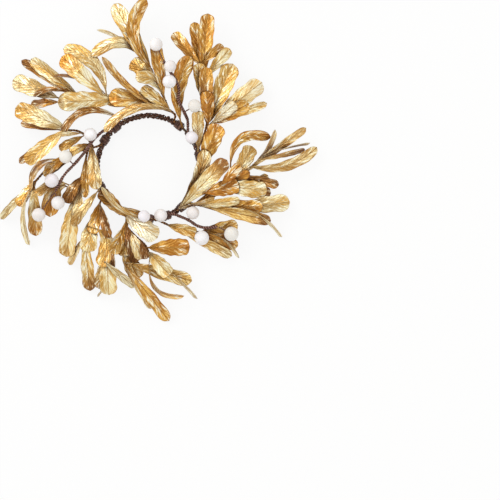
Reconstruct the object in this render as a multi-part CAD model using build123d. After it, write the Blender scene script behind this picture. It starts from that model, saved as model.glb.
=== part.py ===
from build123d import *
import math
import os

import numpy as np

# A candle ring: a wire ring wrapped in brown paper strands, sprays of gold foil leaves and white
# berries tied on with wire, and an open middle for a pillar candle. Lengths are in millimetres.
# The origin is the centre of the open middle, on the table that the ring lies on.

# Driving dimensions of the ring
ring_radius = 41.4
ring_wire = 2.0
wrap_wire = 1.2
wrap_gap = 0.1

# Driving dimensions of the wreath
wreath_reach = 126.0
leaf_width = 12.0
leaf_thickness = 0.5
petiole_width = 1.2
leaf_rise = 34.0
leaf_gap = 0.4

# Driving dimensions of the stems, their bindings and the berries
stem_wire = 2.0
stem_seat_gap = 0.2
stem_end_height = 11.0
binding_wire = 0.9
binding_pitch = 1.5
binding_gap = 0.35
binding_flat_depth = 0.5
berry_stem_wire = 1.7
stalk_wire = 1.0
stalk_seat = 1.5
stalk_gap = 0.25
berry_diameter = 10.8

# Steps of the height map that keeps the pieces apart
map_cell = 0.8
map_margin = 12.0

# Counts
wrap_strands = 3
wrap_loops = 24
binding_turns = 5
low_stem_points = 3

# Shares of the photograph: its pixels, of which the ring's radius has 51.75 and the reach 157.5
centre_shares = (148.5, 167)
ring_px_share = 51.75
reach_px_share = 157.5
width_px_share = 1 / 15
berry_px_share = 1 / 13.5
wrap_span_share = 0.972
map_rim_share = 0.1
steepest_lift_share = 1.1
run_trim_share = 0.45
section_shares = (0, 0.08, 0.17, 0.27, 0.38, 0.5, 0.6, 0.7, 0.79, 0.87, 0.93, 0.97, 1)
ease_share = 0.5
bare_share = 0.75
petiole_most_share = 0.45
widest_share = 0.65
base_share = 0.8
tip_share = 0.16
cup_share = 0.16
widest_leaf_share = 1.25

# What follows from them
wrap_radius = ring_wire / 2 + wrap_gap + wrap_wire / 2
wrapped_radius = wrap_radius + wrap_wire / 2
binding_bore = (2 * wrapped_radius + stem_seat_gap + stem_wire) / 2 + binding_gap
binding_radius = binding_bore + binding_wire / 2
binding_offset = binding_bore - binding_gap - wrapped_radius
ring_height = binding_radius + binding_wire / 2 - binding_offset - binding_flat_depth
binding_length = binding_turns * binding_pitch
berry_radius = berry_diameter / 2


def place(pixel):
    """The x and y of a pixel of the photograph, measured from the ring's centre."""
    across = pixel[0] - centre_shares[0]
    up = centre_shares[1] - pixel[1]
    reach = math.hypot(across, up)
    if reach <= ring_px_share:
        radius = ring_radius * reach / ring_px_share
    else:
        outer_share = (reach - ring_px_share) / (reach_px_share - ring_px_share)
        radius = ring_radius + (wreath_reach - ring_radius) * outer_share
    return np.array((across * radius / reach, up * radius / reach))


# Sprays: the turn of their binding on the ring, and the route of each stem, by pixel.
# A branch starts on the stem named first in its row.
spray_shares = {
    "top_spray_stems": (
        54,
        (None, (176, 115), (162, 104), (135, 100), (105, 96), (80, 97), (60, 102)),
        (0, (170, 108), (163, 95), (156, 82), (151, 68)),
    ),
    "right_spray_stems": (
        13,
        (None, (203, 139), (208, 120), (206, 95), (202, 75), (203, 60)),
        (0, (207, 130), (214, 121), (223, 111)),
    ),
    "side_spray_stems": (
        -50,
        (None, (193, 198), (212, 190), (235, 180), (250, 168), (258, 161)),
        (0, (187, 202), (205, 207), (225, 206), (241, 208)),
    ),
    "low_spray_stems": (
        -90,
        (None, (168, 225), (186, 232), (205, 232)),
    ),
    "bottom_spray_stems": (
        -125,
        (None, (127, 219), (127, 232), (122, 247), (124, 262)),
        (0, (127, 227), (135, 236), (147, 246), (150, 258)),
        (0, (127, 229), (117, 238), (108, 250), (104, 264)),
    ),
    "corner_spray_stems": (
        -157,
        (None, (100, 203), (92, 217), (85, 235)),
    ),
    "left_spray_stems": (
        148,
        (None, (90, 148), (79, 151), (66, 156), (50, 165), (35, 182)),
        (0, (93, 146), (86, 135), (76, 130), (64, 131)),
        (0, (88, 148), (85, 164), (82, 183), (74, 200)),
    ),
}

# Leaves of each group, the lower ones first: base, a point that the leaf bends through or None,
# tip, the width seen, the roll in degrees, the tip's height and the arch.
leaf_shares = {
    "top_tip_leaves": (
        ((75, 91), None, (21, 60), 9, 30, 0.15, 0.10),
        ((62, 88), None, (12, 80), 17, 5, 0.10, 0.08),
        ((80, 92), None, (31, 59), 12, -25, 0.30, 0.10),
        ((78, 97), (55, 90), (34, 97), 6, 55, 0.30, 0.10),
        ((108, 93), (78, 79), (54, 78), 4, 68, 0.40, 0.08),
    ),
    "top_outer_leaves": (
        ((57, 101), None, (30, 105), 9, 30, 0.08, 0.06),
        ((60, 122), None, (20, 123), 8, 35, 0.10, 0.08),
        ((70, 123), None, (15, 108), 18, 0, 0.20, 0.10),
        ((125, 108), None, (58, 103), 20, 0, 0.30, 0.10),
        ((122, 115), (78, 116), (63, 135), 8, 40, 0.20, 0.15),
    ),
    "top_middle_leaves": (
        ((108, 88), (92, 62), (63, 49), 15, 10, 0.25, 0.10),
        ((105, 90), None, (62, 57), 17, 0, 0.45, 0.10),
        ((165, 105), None, (108, 105), 6, 50, 0.30, 0.06),
        ((168, 103), None, (109, 97), 18, 5, 0.50, 0.08),
        ((176, 110), (125, 85), (103, 58), 7, 50, 0.75, 0.08),
    ),
    "top_crown_leaves": (
        ((150, 68), (125, 43), (97, 30), 4, 65, 0.30, 0.10),
        ((142, 69), (122, 44), (92, 57), 12, 25, 0.45, 0.12),
        ((154, 78), None, (131, 62), 15, 10, 0.45, 0.10),
        ((150, 66), None, (114, 4), 16, 0, 0.35, 0.12),
        ((151, 68), (134, 25), (147, 0), 13, 15, 0.55, 0.12),
    ),
    "top_crest_leaves": (
        ((174, 108), None, (142, 88), 12, 20, 0.45, 0.10),
        ((172, 98), (152, 80), (136, 79), 13, 15, 0.60, 0.12),
        ((171, 96), None, (156, 46), 13, 10, 0.80, 0.12),
        ((172, 110), (132, 111), (105, 133), 9, 35, 0.62, 0.10),
    ),
    "right_tip_leaves": (
        ((203, 72), None, (194, 22), 12, 10, 0.25, 0.10),
        ((206, 78), None, (208, 14), 15, 5, 0.45, 0.12),
        ((194, 68), None, (173, 33), 12, 15, 0.30, 0.10),
        ((208, 64), None, (223, 45), 9, 25, 0.30, 0.10),
        ((213, 78), None, (230, 49), 11, 15, 0.40, 0.10),
    ),
    "right_outer_leaves": (
        ((217, 120), None, (262, 82), 18, 0, 0.20, 0.10),
        ((208, 125), None, (233, 64), 19, 0, 0.35, 0.12),
        ((222, 134), None, (267, 103), 8, 35, 0.20, 0.10),
        ((216, 134), None, (249, 104), 14, 10, 0.40, 0.10),
        ((216, 134), None, (236, 104), 11, 15, 0.50, 0.10),
    ),
    "right_crest_leaves": (
        ((190, 118), (180, 80), (191, 57), 16, 10, 0.50, 0.10),
        ((198, 112), None, (198, 64), 13, 15, 0.60, 0.10),
        ((206, 124), None, (206, 68), 14, 10, 0.70, 0.10),
        ((212, 130), None, (207, 92), 14, 10, 0.60, 0.10),
    ),
    "right_ring_leaves": (
        ((206, 150), None, (198, 111), 12, 10, 0.60, 0.10),
        ((207, 170), None, (219, 125), 18, 0, 0.75, 0.15),
        ((178, 208), (197, 183), (205, 150), 14, 15, 0.60, 0.12),
        ((177, 206), None, (214, 166), 10, 30, 0.70, 0.10),
    ),
    "side_tip_leaves": (
        ((182, 206), None, (227, 160), 16, 5, 0.35, 0.12),
        ((224, 164), (243, 138), (271, 138), 10, 25, 0.50, 0.14),
        ((237, 182), None, (252, 146), 15, 5, 0.30, 0.10),
        ((245, 178), (268, 148), (275, 130), 5, 60, 0.50, 0.10),
        ((252, 170), None, (306, 128), 8, 35, 0.35, 0.10),
        ((290, 147), None, (310, 143), 2, 75, 0.25, 0.05),
    ),
    "side_outer_leaves": (
        ((262, 161), None, (305, 149), 5, 60, 0.25, 0.08),
        ((252, 168), (285, 166), (317, 147), 11, 20, 0.20, 0.08),
        ((247, 180), None, (268, 175), 9, 30, 0.20, 0.08),
        ((248, 184), None, (271, 193), 12, 15, 0.10, 0.05),
        ((245, 180), None, (279, 185), 9, 30, 0.20, 0.08),
    ),
    "side_middle_leaves": (
        ((195, 203), None, (250, 172), 10, 20, 0.30, 0.10),
        ((222, 188), None, (267, 191), 17, 0, 0.35, 0.10),
        ((205, 200), None, (239, 185), 16, 0, 0.60, 0.12),
        ((238, 205), None, (290, 202), 17, 0, 0.15, 0.08),
        ((203, 207), None, (263, 207), 14, 10, 0.40, 0.10),
        ((222, 190), None, (240, 165), 10, 20, 0.65, 0.10),
    ),
    "side_low_leaves": (
        ((208, 212), None, (271, 221), 12, 20, 0.20, 0.08),
        ((266, 220), None, (282, 237), 3, 70, 0.10, 0.05),
        ((198, 222), None, (238, 225), 13, 15, 0.30, 0.10),
        ((200, 229), None, (238, 246), 12, 15, 0.20, 0.10),
        ((226, 241), None, (239, 258), 3, 70, 0.10, 0.05),
    ),
    "side_ring_leaves": (
        ((178, 234), None, (232, 256), 10, 25, 0.15, 0.08),
        ((167, 226), None, (197, 233), 11, 20, 0.30, 0.10),
        ((200, 206), None, (240, 200), 9, 30, 0.60, 0.08),
        ((178, 208), None, (215, 198), 4, 60, 0.60, 0.08),
    ),
    "bottom_tip_leaves": (
        ((104, 287), None, (97, 297), 2, 75, 0.05, 0.05),
        ((89, 240), None, (90, 291), 13, 20, 0.10, 0.08),
        ((99, 250), None, (99, 289), 12, 25, 0.15, 0.08),
        ((107, 252), None, (109, 295), 17, 0, 0.25, 0.10),
        ((86, 243), None, (69, 265), 7, 40, 0.10, 0.08),
    ),
    "bottom_left_leaves": (
        ((74, 198), None, (66, 257), 17, 5, 0.15, 0.10),
        ((88, 215), None, (88, 252), 17, 0, 0.25, 0.10),
        ((101, 203), None, (93, 234), 12, 20, 0.50, 0.10),
        ((102, 232), None, (101, 267), 15, 10, 0.38, 0.12),
        ((104, 205), None, (110, 238), 9, 30, 0.50, 0.08),
    ),
    "bottom_middle_leaves": (
        ((117, 245), None, (115, 268), 4, 60, 0.20, 0.05),
        ((119, 243), None, (138, 279), 16, 5, 0.20, 0.10),
        ((120, 220), None, (124, 257), 12, 20, 0.40, 0.10),
        ((117, 222), None, (113, 254), 12, -20, 0.50, 0.10),
        ((126, 226), None, (137, 262), 12, 25, 0.45, 0.10),
    ),
    "bottom_outer_leaves": (
        ((108, 262), None, (135, 287), 8, 35, 0.08, 0.08),
        ((120, 262), (135, 282), (151, 309), 5, 60, 0.15, 0.08),
        ((136, 262), None, (192, 281), 14, 10, 0.20, 0.10),
        ((142, 273), (158, 290), (184, 296), 5, 60, 0.20, 0.08),
        ((184, 284), None, (197, 299), 3, 70, 0.05, 0.05),
        ((133, 277), None, (169, 321), 12, 20, 0.10, 0.08),
    ),
    "bottom_right_leaves": (
        ((147, 252), None, (170, 275), 15, 5, 0.30, 0.10),
        ((150, 247), None, (190, 247), 17, 0, 0.35, 0.10),
        ((130, 234), None, (143, 259), 12, 20, 0.50, 0.10),
        ((143, 240), None, (147, 259), 8, 35, 0.50, 0.08),
    ),
    "bottom_ring_leaves": (
        ((122, 214), None, (158, 238), 18, 0, 0.60, 0.12),
        ((125, 217), None, (100, 191), 13, 15, 0.50, 0.10),
        ((117, 203), None, (146, 215), 6, 50, 0.60, 0.08),
        ((153, 220), (123, 211), (102, 187), 5, 60, 0.65, 0.08),
    ),
    "left_tip_leaves": (
        ((33, 190), None, (0, 219), 8, 35, 0.10, 0.08),
        ((35, 176), None, (18, 206), 11, 20, 0.20, 0.08),
        ((26, 203), (24, 224), (29, 245), 6, 55, 0.10, 0.08),
        ((36, 188), None, (36, 213), 7, 40, 0.20, 0.05),
        ((31, 190), None, (36, 236), 14, 10, 0.30, 0.10),
    ),
    "left_outer_leaves": (
        ((60, 137), None, (19, 163), 8, 35, 0.25, 0.10),
        ((66, 133), None, (26, 163), 15, 5, 0.40, 0.12),
        ((76, 151), None, (44, 176), 9, 25, 0.40, 0.10),
        ((58, 155), (37, 168), (33, 190), 5, 60, 0.45, 0.10),
        ((70, 156), None, (46, 173), 10, 25, 0.45, 0.08),
        ((56, 163), (43, 168), (35, 180), 4, 65, 0.50, 0.08),
    ),
    "left_middle_leaves": (
        ((84, 188), None, (78, 216), 10, 25, 0.30, 0.08),
        ((63, 186), None, (50, 217), 17, 0, 0.35, 0.10),
        ((61, 183), None, (38, 196), 9, 25, 0.40, 0.08),
        ((75, 172), None, (66, 203), 12, 25, 0.50, 0.10),
        ((93, 192), (86, 208), (73, 226), 10, 30, 0.50, 0.10),
    ),
    "left_ring_leaves": (
        ((87, 158), None, (86, 198), 9, 35, 0.50, 0.10),
        ((95, 141), None, (98, 190), 13, 20, 0.60, 0.10),
        ((86, 127), None, (62, 136), 5, 55, 0.40, 0.08),
        ((90, 127), None, (60, 150), 9, 35, 0.50, 0.08),
        ((96, 140), None, (71, 154), 9, 30, 0.60, 0.08),
    ),
}

# Berry sprays: the turn of the binding, the stem's route, and the middle and width of each berry
berry_shares = {
    "top": (
        34,
        ((188, 120), (183, 110), (178, 100), (180, 91), (177, 82), (170, 72), (164, 62)),
        ((157, 46.5, 13), (171, 68, 12), (170, 83, 13.5), (195, 107, 13), (192, 138, 12.5)),
    ),
    "left": (
        130,
        ((104, 130), (95, 138), (87, 151), (76, 164), (65, 175), (56, 192)),
        ((91, 135, 13), (67, 157.5, 13), (53, 181, 14), (59, 203, 13.5), (40, 215, 13.5)),
    ),
    "bottom": (
        -70,
        ((179, 216), (189, 220), (197, 226), (205, 228), (218, 227)),
        ((145, 216.5, 12), (161, 215.5, 13), (193, 213, 13), (202, 238, 14.5), (231.5, 234, 14.5)),
    ),
}


def write(name, solids):
    """Write one named piece, or a group of separate ones, to its own file."""
    shape = solids[0] if len(solids) == 1 else Compound(children=list(solids))
    shape.label = name
    export_step(shape, f"parts/{name}.step")


def vector(point):
    """A point of three numbers as a vector."""
    return Vector(float(point[0]), float(point[1]), float(point[2]))


def biarc_wire(points, tangents, lead):
    """A smooth wire, two arcs from each point to the next, with a straight lead at each end."""
    edges = [Edge.make_line(points[0] - tangents[0] * lead, points[0])]
    for start, end, leaving, arriving in zip(points, points[1:], tangents, tangents[1:]):
        chord = end - start
        both = chord.dot(leaving + arriving)
        turn = 2 * (1 - leaving.dot(arriving))
        reach = (math.sqrt(both**2 + turn * chord.dot(chord)) - both) / turn
        first_corner = start + leaving * reach
        second_corner = end - arriving * reach
        middle = (first_corner + second_corner) / 2
        through = (second_corner - first_corner).normalized()
        edges.append(Edge.make_tangent_arc(start, leaving, middle))
        edges.append(Edge.make_tangent_arc(middle, through, end))
    edges.append(Edge.make_line(points[-1], points[-1] + tangents[-1] * lead))
    return Wire(edges)


def tube(wire, diameter):
    """A round solid along a wire."""
    section = Plane(origin=wire @ 0, z_dir=wire % 0) * Circle(diameter / 2)
    return sweep(section, path=wire).solid()


def least_gap(points, diameter, clear_steps):
    """The least gap between the turns of a wound tube, from points along its middle."""
    track = np.array([tuple(point) for point in points])
    least = math.inf
    for index in range(len(track) - clear_steps):
        apart = np.linalg.norm(track[index + clear_steps :] - track[index], axis=1)
        least = min(least, apart.min() - diameter)
    return least


def rounded_wire(points):
    """Straight runs joined by arcs as large as the runs allow, and the least of their radii."""
    corners = [vector(point) for point in points]
    edges = []
    radii = []
    here = corners[0]
    for before, corner, after in zip(corners, corners[1:], corners[2:]):
        trim = run_trim_share * min((corner - before).length, (after - corner).length)
        arriving = (corner - before).normalized()
        leaving = (after - corner).normalized()
        start = corner - arriving * trim
        end = corner + leaving * trim
        edges.append(Edge.make_line(here, start))
        turn = math.radians(arriving.get_angle(leaving))
        radii.append(trim / math.tan(turn / 2))
        edges.append(Edge.make_tangent_arc(start, arriving, end))
        here = end
    edges.append(Edge.make_line(here, corners[-1]))
    return Wire(edges), min(radii, default=math.inf)


# The height map: the highest point so far over each cell of the table.
# Its rim of further cells holds the leaf tips that go past the reach.
map_half = wreath_reach + map_margin
map_rim = math.ceil(wreath_reach * map_rim_share / map_cell)
map_size = int(2 * map_half / map_cell) + 1 + 2 * map_rim
height_map = np.full((map_size, map_size), -map_margin)


def cells(points):
    """The cells of the map that lie under points."""
    columns = np.floor((points[..., 0] + map_half) / map_cell).astype(int) + map_rim
    rows = np.floor((points[..., 1] + map_half) / map_cell).astype(int) + map_rim
    return columns, rows


def cover(points, thickness):
    """Raise the map to the top of a piece, given by the points of its middle surface."""
    np.maximum.at(height_map, cells(points), points[..., 2] + thickness / 2)


def tube_points(track, radius):
    """Points of the upper half of a tube whose middle line is given by points."""
    track = np.asarray(track, dtype=float)
    steps = []
    for start, end in zip(track, track[1:]):
        count = max(2, int(np.linalg.norm(end - start) / map_cell * 2))
        steps.append(start + (end - start) * np.linspace(0, 1, count)[:, None])
    line = np.concatenate(steps)
    directions = np.gradient(line, axis=0)[:, :2]
    directions /= np.maximum(np.linalg.norm(directions, axis=1), map_cell / 1000)[:, None]
    beside = np.stack([-directions[:, 1], directions[:, 0]], axis=1)
    layers = []
    for turn in np.linspace(0, math.pi, 7):
        layer = line.copy()
        layer[:, :2] += beside * radius * math.cos(turn)
        layer[:, 2] += radius * math.sin(turn)
        layers.append(layer)
    return np.stack(layers)


def leaf_frame(row, start):
    """The middle line of a leaf from its seat on a stem, with its side and normal directions."""
    base, bend, tip, width, roll, tip_height, arch = row
    seat = start[:2]
    blade = place(base)
    end = place(tip)
    petiole = np.linalg.norm(blade - seat)
    length = petiole + np.linalg.norm(end - blade)
    petiole_share = min(bare_share * petiole / length, petiole_most_share)
    through = place(bend) if bend else blade
    bend_share = np.linalg.norm(through - seat)
    bend_share = bend_share / (bend_share + np.linalg.norm(end - through))
    if not bend and bend_share < 0.25:
        through = seat + (end - seat) / 2
        bend_share = 0.5
    bend_share = min(max(bend_share, 0.25), 0.75)
    pull = through - (1 - bend_share) ** 2 * seat - bend_share**2 * end
    pull = pull / (2 * bend_share * (1 - bend_share))

    def at(share):
        share = np.asarray(share, dtype=float)[..., None]
        line = (1 - share) ** 2 * seat + 2 * share * (1 - share) * pull + share**2 * end
        ahead = 2 * (1 - share) * (pull - seat) + 2 * share * (end - pull)
        ahead = ahead / np.linalg.norm(ahead, axis=-1)[..., None]
        share = share[..., 0]
        height = start[2] + (leaf_rise * tip_height + leaf_gap - start[2]) * share
        height = height + arch * length * 4 * share * (1 - share)
        middle = np.concatenate([line, height[..., None]], axis=-1)
        level = np.stack([-ahead[..., 1], ahead[..., 0], 0 * share], axis=-1)
        up = np.array((0, 0, 1.0))
        turn = math.radians(roll)
        side = level * math.cos(turn) + up * math.sin(turn)
        normal = up * math.cos(turn) - level * math.sin(turn)
        blade_share = np.clip((share - petiole_share) / (1 - petiole_share), 0, 1)
        rise = np.sin(math.pi / 2 * np.minimum(blade_share / widest_share, 1)) ** base_share
        into_tip = np.clip(1 - (1 - blade_share) / tip_share, 0, 1)
        outline = rise * np.sqrt(1 - into_tip**2)
        seen = leaf_width * width * width_px_share / math.cos(turn)
        widest = min(seen, leaf_width * widest_leaf_share)
        half = petiole_width / 2 + (widest - petiole_width) / 2 * outline
        return middle, side, normal, half

    return at, length


def surface(at, shares, sides):
    """Points of a leaf's middle surface at shares of its length and of its half width."""
    middle, side, normal, half = at(shares)
    reach = half[:, None, None] * sides[None, :, None]
    cup = half[:, None, None] * (sides**2)[None, :, None] * cup_share
    return middle[:, None] + side[:, None] * reach + normal[:, None] * cup


def smooth_lift(shares, knots):
    """The lift between a leaf's sections, on a smooth curve through the lifts at them."""
    steps = np.diff(section_shares)
    slopes = np.diff(knots) / steps
    matrix = np.eye(len(knots))
    turns = np.zeros(len(knots))
    for index in range(1, len(steps)):
        before, after = steps[index - 1], steps[index]
        matrix[index, index - 1 : index + 2] = before, 2 * (before + after), after
        turns[index] = 6 * (slopes[index] - slopes[index - 1])
    bends = np.linalg.solve(matrix, turns)
    left = np.clip(np.searchsorted(section_shares, shares, side="right") - 1, 0, len(steps) - 1)
    step = steps[left]
    near = (shares - np.array(section_shares)[left]) / step
    far = 1 - near
    line = knots[left] * far + knots[left + 1] * near
    bow = (far**3 - far) * bends[left] + (near**3 - near) * bends[left + 1]
    return line + bow * step**2 / 6


def settle(at, length):
    """The lift at each section of a leaf that lays it on what is under it."""
    shares = np.linspace(0, 1, int(length / map_cell * 2) + 2)
    sides = np.linspace(-1, 1, 31)
    points = surface(at, shares, sides)
    floor = np.maximum(height_map[cells(points)] + leaf_gap, leaf_gap)
    needed = (floor - (points[..., 2] - leaf_thickness / 2)).max(axis=1)
    apart = np.abs(shares[:, None] - shares[None, :]) * length
    eased = (needed[None, :] - steepest_lift_share * apart).max(axis=1)
    eased = np.maximum(eased, 0)
    knots = np.zeros(len(section_shares))
    for index, share in enumerate(section_shares):
        before = section_shares[max(index - 1, 0)]
        after = section_shares[min(index + 1, len(section_shares) - 1)]
        near = (shares >= (before + share) / 2) & (shares <= (share + after) / 2)
        knots[index] = eased[near].max()
    steps = np.diff(section_shares)
    for _ in range(3):
        runs = steps[:-1] * knots[2:] + steps[1:] * knots[:-2]
        level = runs / (steps[:-1] + steps[1:])
        knots[1:-1] += ease_share * np.maximum(level - knots[1:-1], 0)
    lifted = points.copy()
    straight = np.interp(shares, section_shares, knots)
    lifted[..., 2] += np.maximum(smooth_lift(shares, knots), straight)[:, None]
    cover(lifted, leaf_thickness)
    return knots


def leaf_solid(at, lifts):
    """A thin cupped leaf, lofted through sections square to its middle line."""
    sections = []
    for share, lift in zip(section_shares, lifts):
        points = surface(at, np.array([share]), np.array([-1.0, 0.0, 1.0]))[0]
        points[:, 2] += lift
        normal = at(np.array([share]))[2][0] * leaf_thickness / 2
        left, middle, right = (vector(point) for point in points)
        shift = vector(normal)
        upper = Edge.make_three_point_arc(left + shift, middle + shift, right + shift)
        lower = Edge.make_three_point_arc(right - shift, middle - shift, left - shift)
        right_rim = Edge.make_line(right + shift, right - shift)
        left_rim = Edge.make_line(left - shift, left + shift)
        sections.append(Wire([upper, right_rim, lower, left_rim]))
    return Solid.make_loft(sections)


def ring_point(turn, radius, height):
    """A point of the ring at a turn in degrees."""
    angle = math.radians(turn)
    return np.array((radius * math.cos(angle), radius * math.sin(angle), height))


def ring_wraps():
    """The paper strands wound round the ring's wire."""
    quarter_turns = wrap_loops * 4
    solids = []
    for strand in range(wrap_strands):
        points = []
        tangents = []
        for step in range(quarter_turns + 1):
            along = 2 * math.pi * wrap_span_share * step / quarter_turns
            along += math.radians(spray_shares["top_spray_stems"][0])
            round_wire = math.pi / 2 * step + 2 * math.pi * strand / wrap_strands
            rate = wrap_loops / wrap_span_share
            out = ring_radius + wrap_radius * math.cos(round_wire)
            slide = -wrap_radius * math.sin(round_wire) * rate
            x, y = out * math.cos(along), out * math.sin(along)
            points.append(Vector(x, y, ring_height + wrap_radius * math.sin(round_wire)))
            dx = slide * math.cos(along) - out * math.sin(along)
            dy = slide * math.sin(along) + out * math.cos(along)
            dz = wrap_radius * math.cos(round_wire) * rate
            tangents.append(Vector(dx, dy, dz).normalized())
        wire = biarc_wire(points, tangents, wrap_wire)
        track = [wire @ (index / 2000) for index in range(2001)]
        gap = least_gap(track, wrap_wire, 40)
        print("ring wrap", strand, "least gap to itself", round(gap, 2))
        solids.append(tube(wire, wrap_wire))
    return solids


def binding(turn):
    """A coil of wire round the ring and the root of a stem, cut flat where it lies on the table."""
    middle = vector(ring_point(turn, ring_radius, ring_height + binding_offset))
    out = vector(ring_point(turn, 1, 0))
    ahead = vector(ring_point(turn + 90, 1, 0))
    rise = binding_pitch / (2 * math.pi)
    points = []
    tangents = []
    for step in range(2 * binding_turns + 1):
        angle = math.pi * step
        round_ring = out * math.cos(angle) + Vector(0, 0, 1) * math.sin(angle)
        onward = Vector(0, 0, 1) * math.cos(angle) - out * math.sin(angle)
        shift = binding_pitch * step / 2 - binding_length / 2
        points.append(middle + round_ring * binding_radius + ahead * shift)
        tangents.append((onward * binding_radius + ahead * rise).normalized())
    wire = biarc_wire(points, tangents, 0.5 * binding_wire)
    track = [wire @ (index / 400) for index in range(401)]
    print("binding least gap to itself", round(least_gap(track, binding_wire, 40), 2))
    depth = binding_radius + binding_wire
    under = Pos(middle.X, middle.Y, -depth / 2) * Box(3 * depth, 3 * depth, depth)
    reach = binding_radius + binding_wire / 2
    ends = [middle - ahead * binding_length / 2, middle + ahead * binding_length / 2]
    for end in ends:
        end.Z = ring_height + binding_offset
    cover(tube_points([tuple(end) for end in ends], reach), 0)
    return (tube(wire, binding_wire) - under).solid()


def stem_route(turn, pixels, wire_diameter):
    """A stem's points: its root lies in the binding on the ring, and the rest rises outward."""
    seat = ring_height + wrapped_radius + stem_seat_gap + wire_diameter / 2
    middle = ring_point(turn, ring_radius, seat)
    ahead = ring_point(turn + 90, 1, 0)
    half = binding_length / 2 + 2 * binding_wire
    points = [middle - ahead * half, middle + ahead * half]
    for index, pixel in enumerate(pixels):
        share = (index + 1) / len(pixels)
        height = seat + (stem_end_height - seat) * share
        points.append(np.array((*place(pixel), height)))
    return points


def nearest(track, spot):
    """The point of a track of points that is nearest to a spot in plan."""
    best = None
    for start, end in zip(track, track[1:]):
        run = end - start
        share = np.dot(spot - start[:2], run[:2]) / np.dot(run[:2], run[:2])
        point = start + run * min(max(share, 0), 1)
        away = np.linalg.norm(point[:2] - spot)
        if best is None or away < best[0]:
            best = (away, point)
    return best


def ground_under(points, radius):
    """The highest thing under each point, or within a radius beside it."""
    found = []
    for turn in range(0, 360, 45):
        aside = points.copy()
        aside[:, :2] += ring_point(turn, radius, 0)[:2]
        found.append(height_map[cells(aside)])
    found.append(height_map[cells(points)])
    return np.max(found, axis=0)


def clear_route(points, radius, fixed):
    """Raise a route, after its fixed points, until its tube lies above what is under it."""
    points = [np.array(point, dtype=float) for point in points]
    for _ in range(20):
        for index in range(max(fixed - 1, 0), len(points) - 1):
            start, end = points[index], points[index + 1]
            count = max(3, int(np.linalg.norm(end - start) / map_cell * 2))
            shares = np.linspace(0, 1, count)[:, None]
            line = start + (end - start) * shares
            short = ground_under(line, radius) + radius + stem_seat_gap - line[:, 2]
            worst = int(np.argmax(short))
            if short[worst] <= 0:
                continue
            share = shares[worst, 0]
            if index >= fixed:
                start[2] += short[worst] * (1 - share)
            end[2] += short[worst] * share
        for index in range(fixed, len(points) - 1):
            level = (points[index - 1][2] + points[index + 1][2]) / 2
            points[index][2] = max(points[index][2], level)
    return points


def berry_height(spot, radius):
    """The height at which a berry's middle lies on what is under it."""
    turns = np.linspace(0, 2 * math.pi, 24, endpoint=False)
    reaches = np.linspace(0, radius, 12)
    x = spot[0] + np.outer(reaches, np.cos(turns))
    y = spot[1] + np.outer(reaches, np.sin(turns))
    points = np.stack([x, y, 0 * x], axis=-1)
    round_under = np.sqrt(radius**2 - reaches**2)[:, None]
    height = float((height_map[cells(points)] + leaf_gap + round_under).max())
    points[..., 2] = height + round_under
    return height, points


os.makedirs("parts", exist_ok=True)

# The ring's wire and the strands on it
ring_core = Pos(0, 0, ring_height) * Torus(ring_radius, ring_wire / 2)
write("ring_core", [ring_core.solid()])
for strand, solid in enumerate(ring_wraps()):
    write(f"ring_wrap_{strand + 1}", [solid])
ring_track = [ring_point(turn, ring_radius, ring_height) for turn in range(0, 365, 5)]
cover(tube_points(ring_track, wrapped_radius), 0)
carriers = [(ring_track, wrapped_radius)]

# The bindings of the berry sprays
write("berry_bindings", [binding(turn) for turn, route, berries in berry_shares.values()])

# Leaf sprays' stems and the bindings that hold them
bindings = []
for name, (turn, *routes) in spray_shares.items():
    bindings.append(binding(turn))
    tracks = []
    solids = []
    for route in routes:
        if route[0] is None:
            points = stem_route(turn, route[1:], stem_wire)
        else:
            root = nearest(tracks[route[0]], place(route[1]))[1]
            lift = stem_wire + stem_seat_gap
            points = [root + np.array((0, 0, lift))]
            for pixel in route[2:]:
                points.append(np.array((*place(pixel), stem_end_height + lift)))
        wire, radius = rounded_wire(points)
        print(name, "least radius", round(radius, 1))
        solids.append(tube(wire, stem_wire))
        tracks.append(points)
        cover(tube_points(points, stem_wire / 2), 0)
        carriers.append((points, stem_wire / 2))
    write(name, solids)
write("stem_bindings", bindings)

# The lower ends of the berry sprays' stems, which the leaves lie over
berry_routes = {}
for spray, (turn, route, berries) in berry_shares.items():
    berry_routes[spray] = stem_route(turn, route, berry_stem_wire)
    cover(tube_points(berry_routes[spray][:low_stem_points], berry_stem_wire / 2), 0)

# Leaves, each laid on what is under it
for name, rows in leaf_shares.items():
    solids = []
    for row in rows:
        spot = place(row[0])
        found = [(*nearest(track, spot), radius) for track, radius in carriers]
        away, seat, radius = min(found, key=lambda item: item[0])
        start = seat + np.array((0, 0, radius + leaf_gap + leaf_thickness / 2))
        at, length = leaf_frame(row, start)
        lifts = settle(at, length)
        solids.append(leaf_solid(at, lifts))
    write(name, solids)

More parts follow.
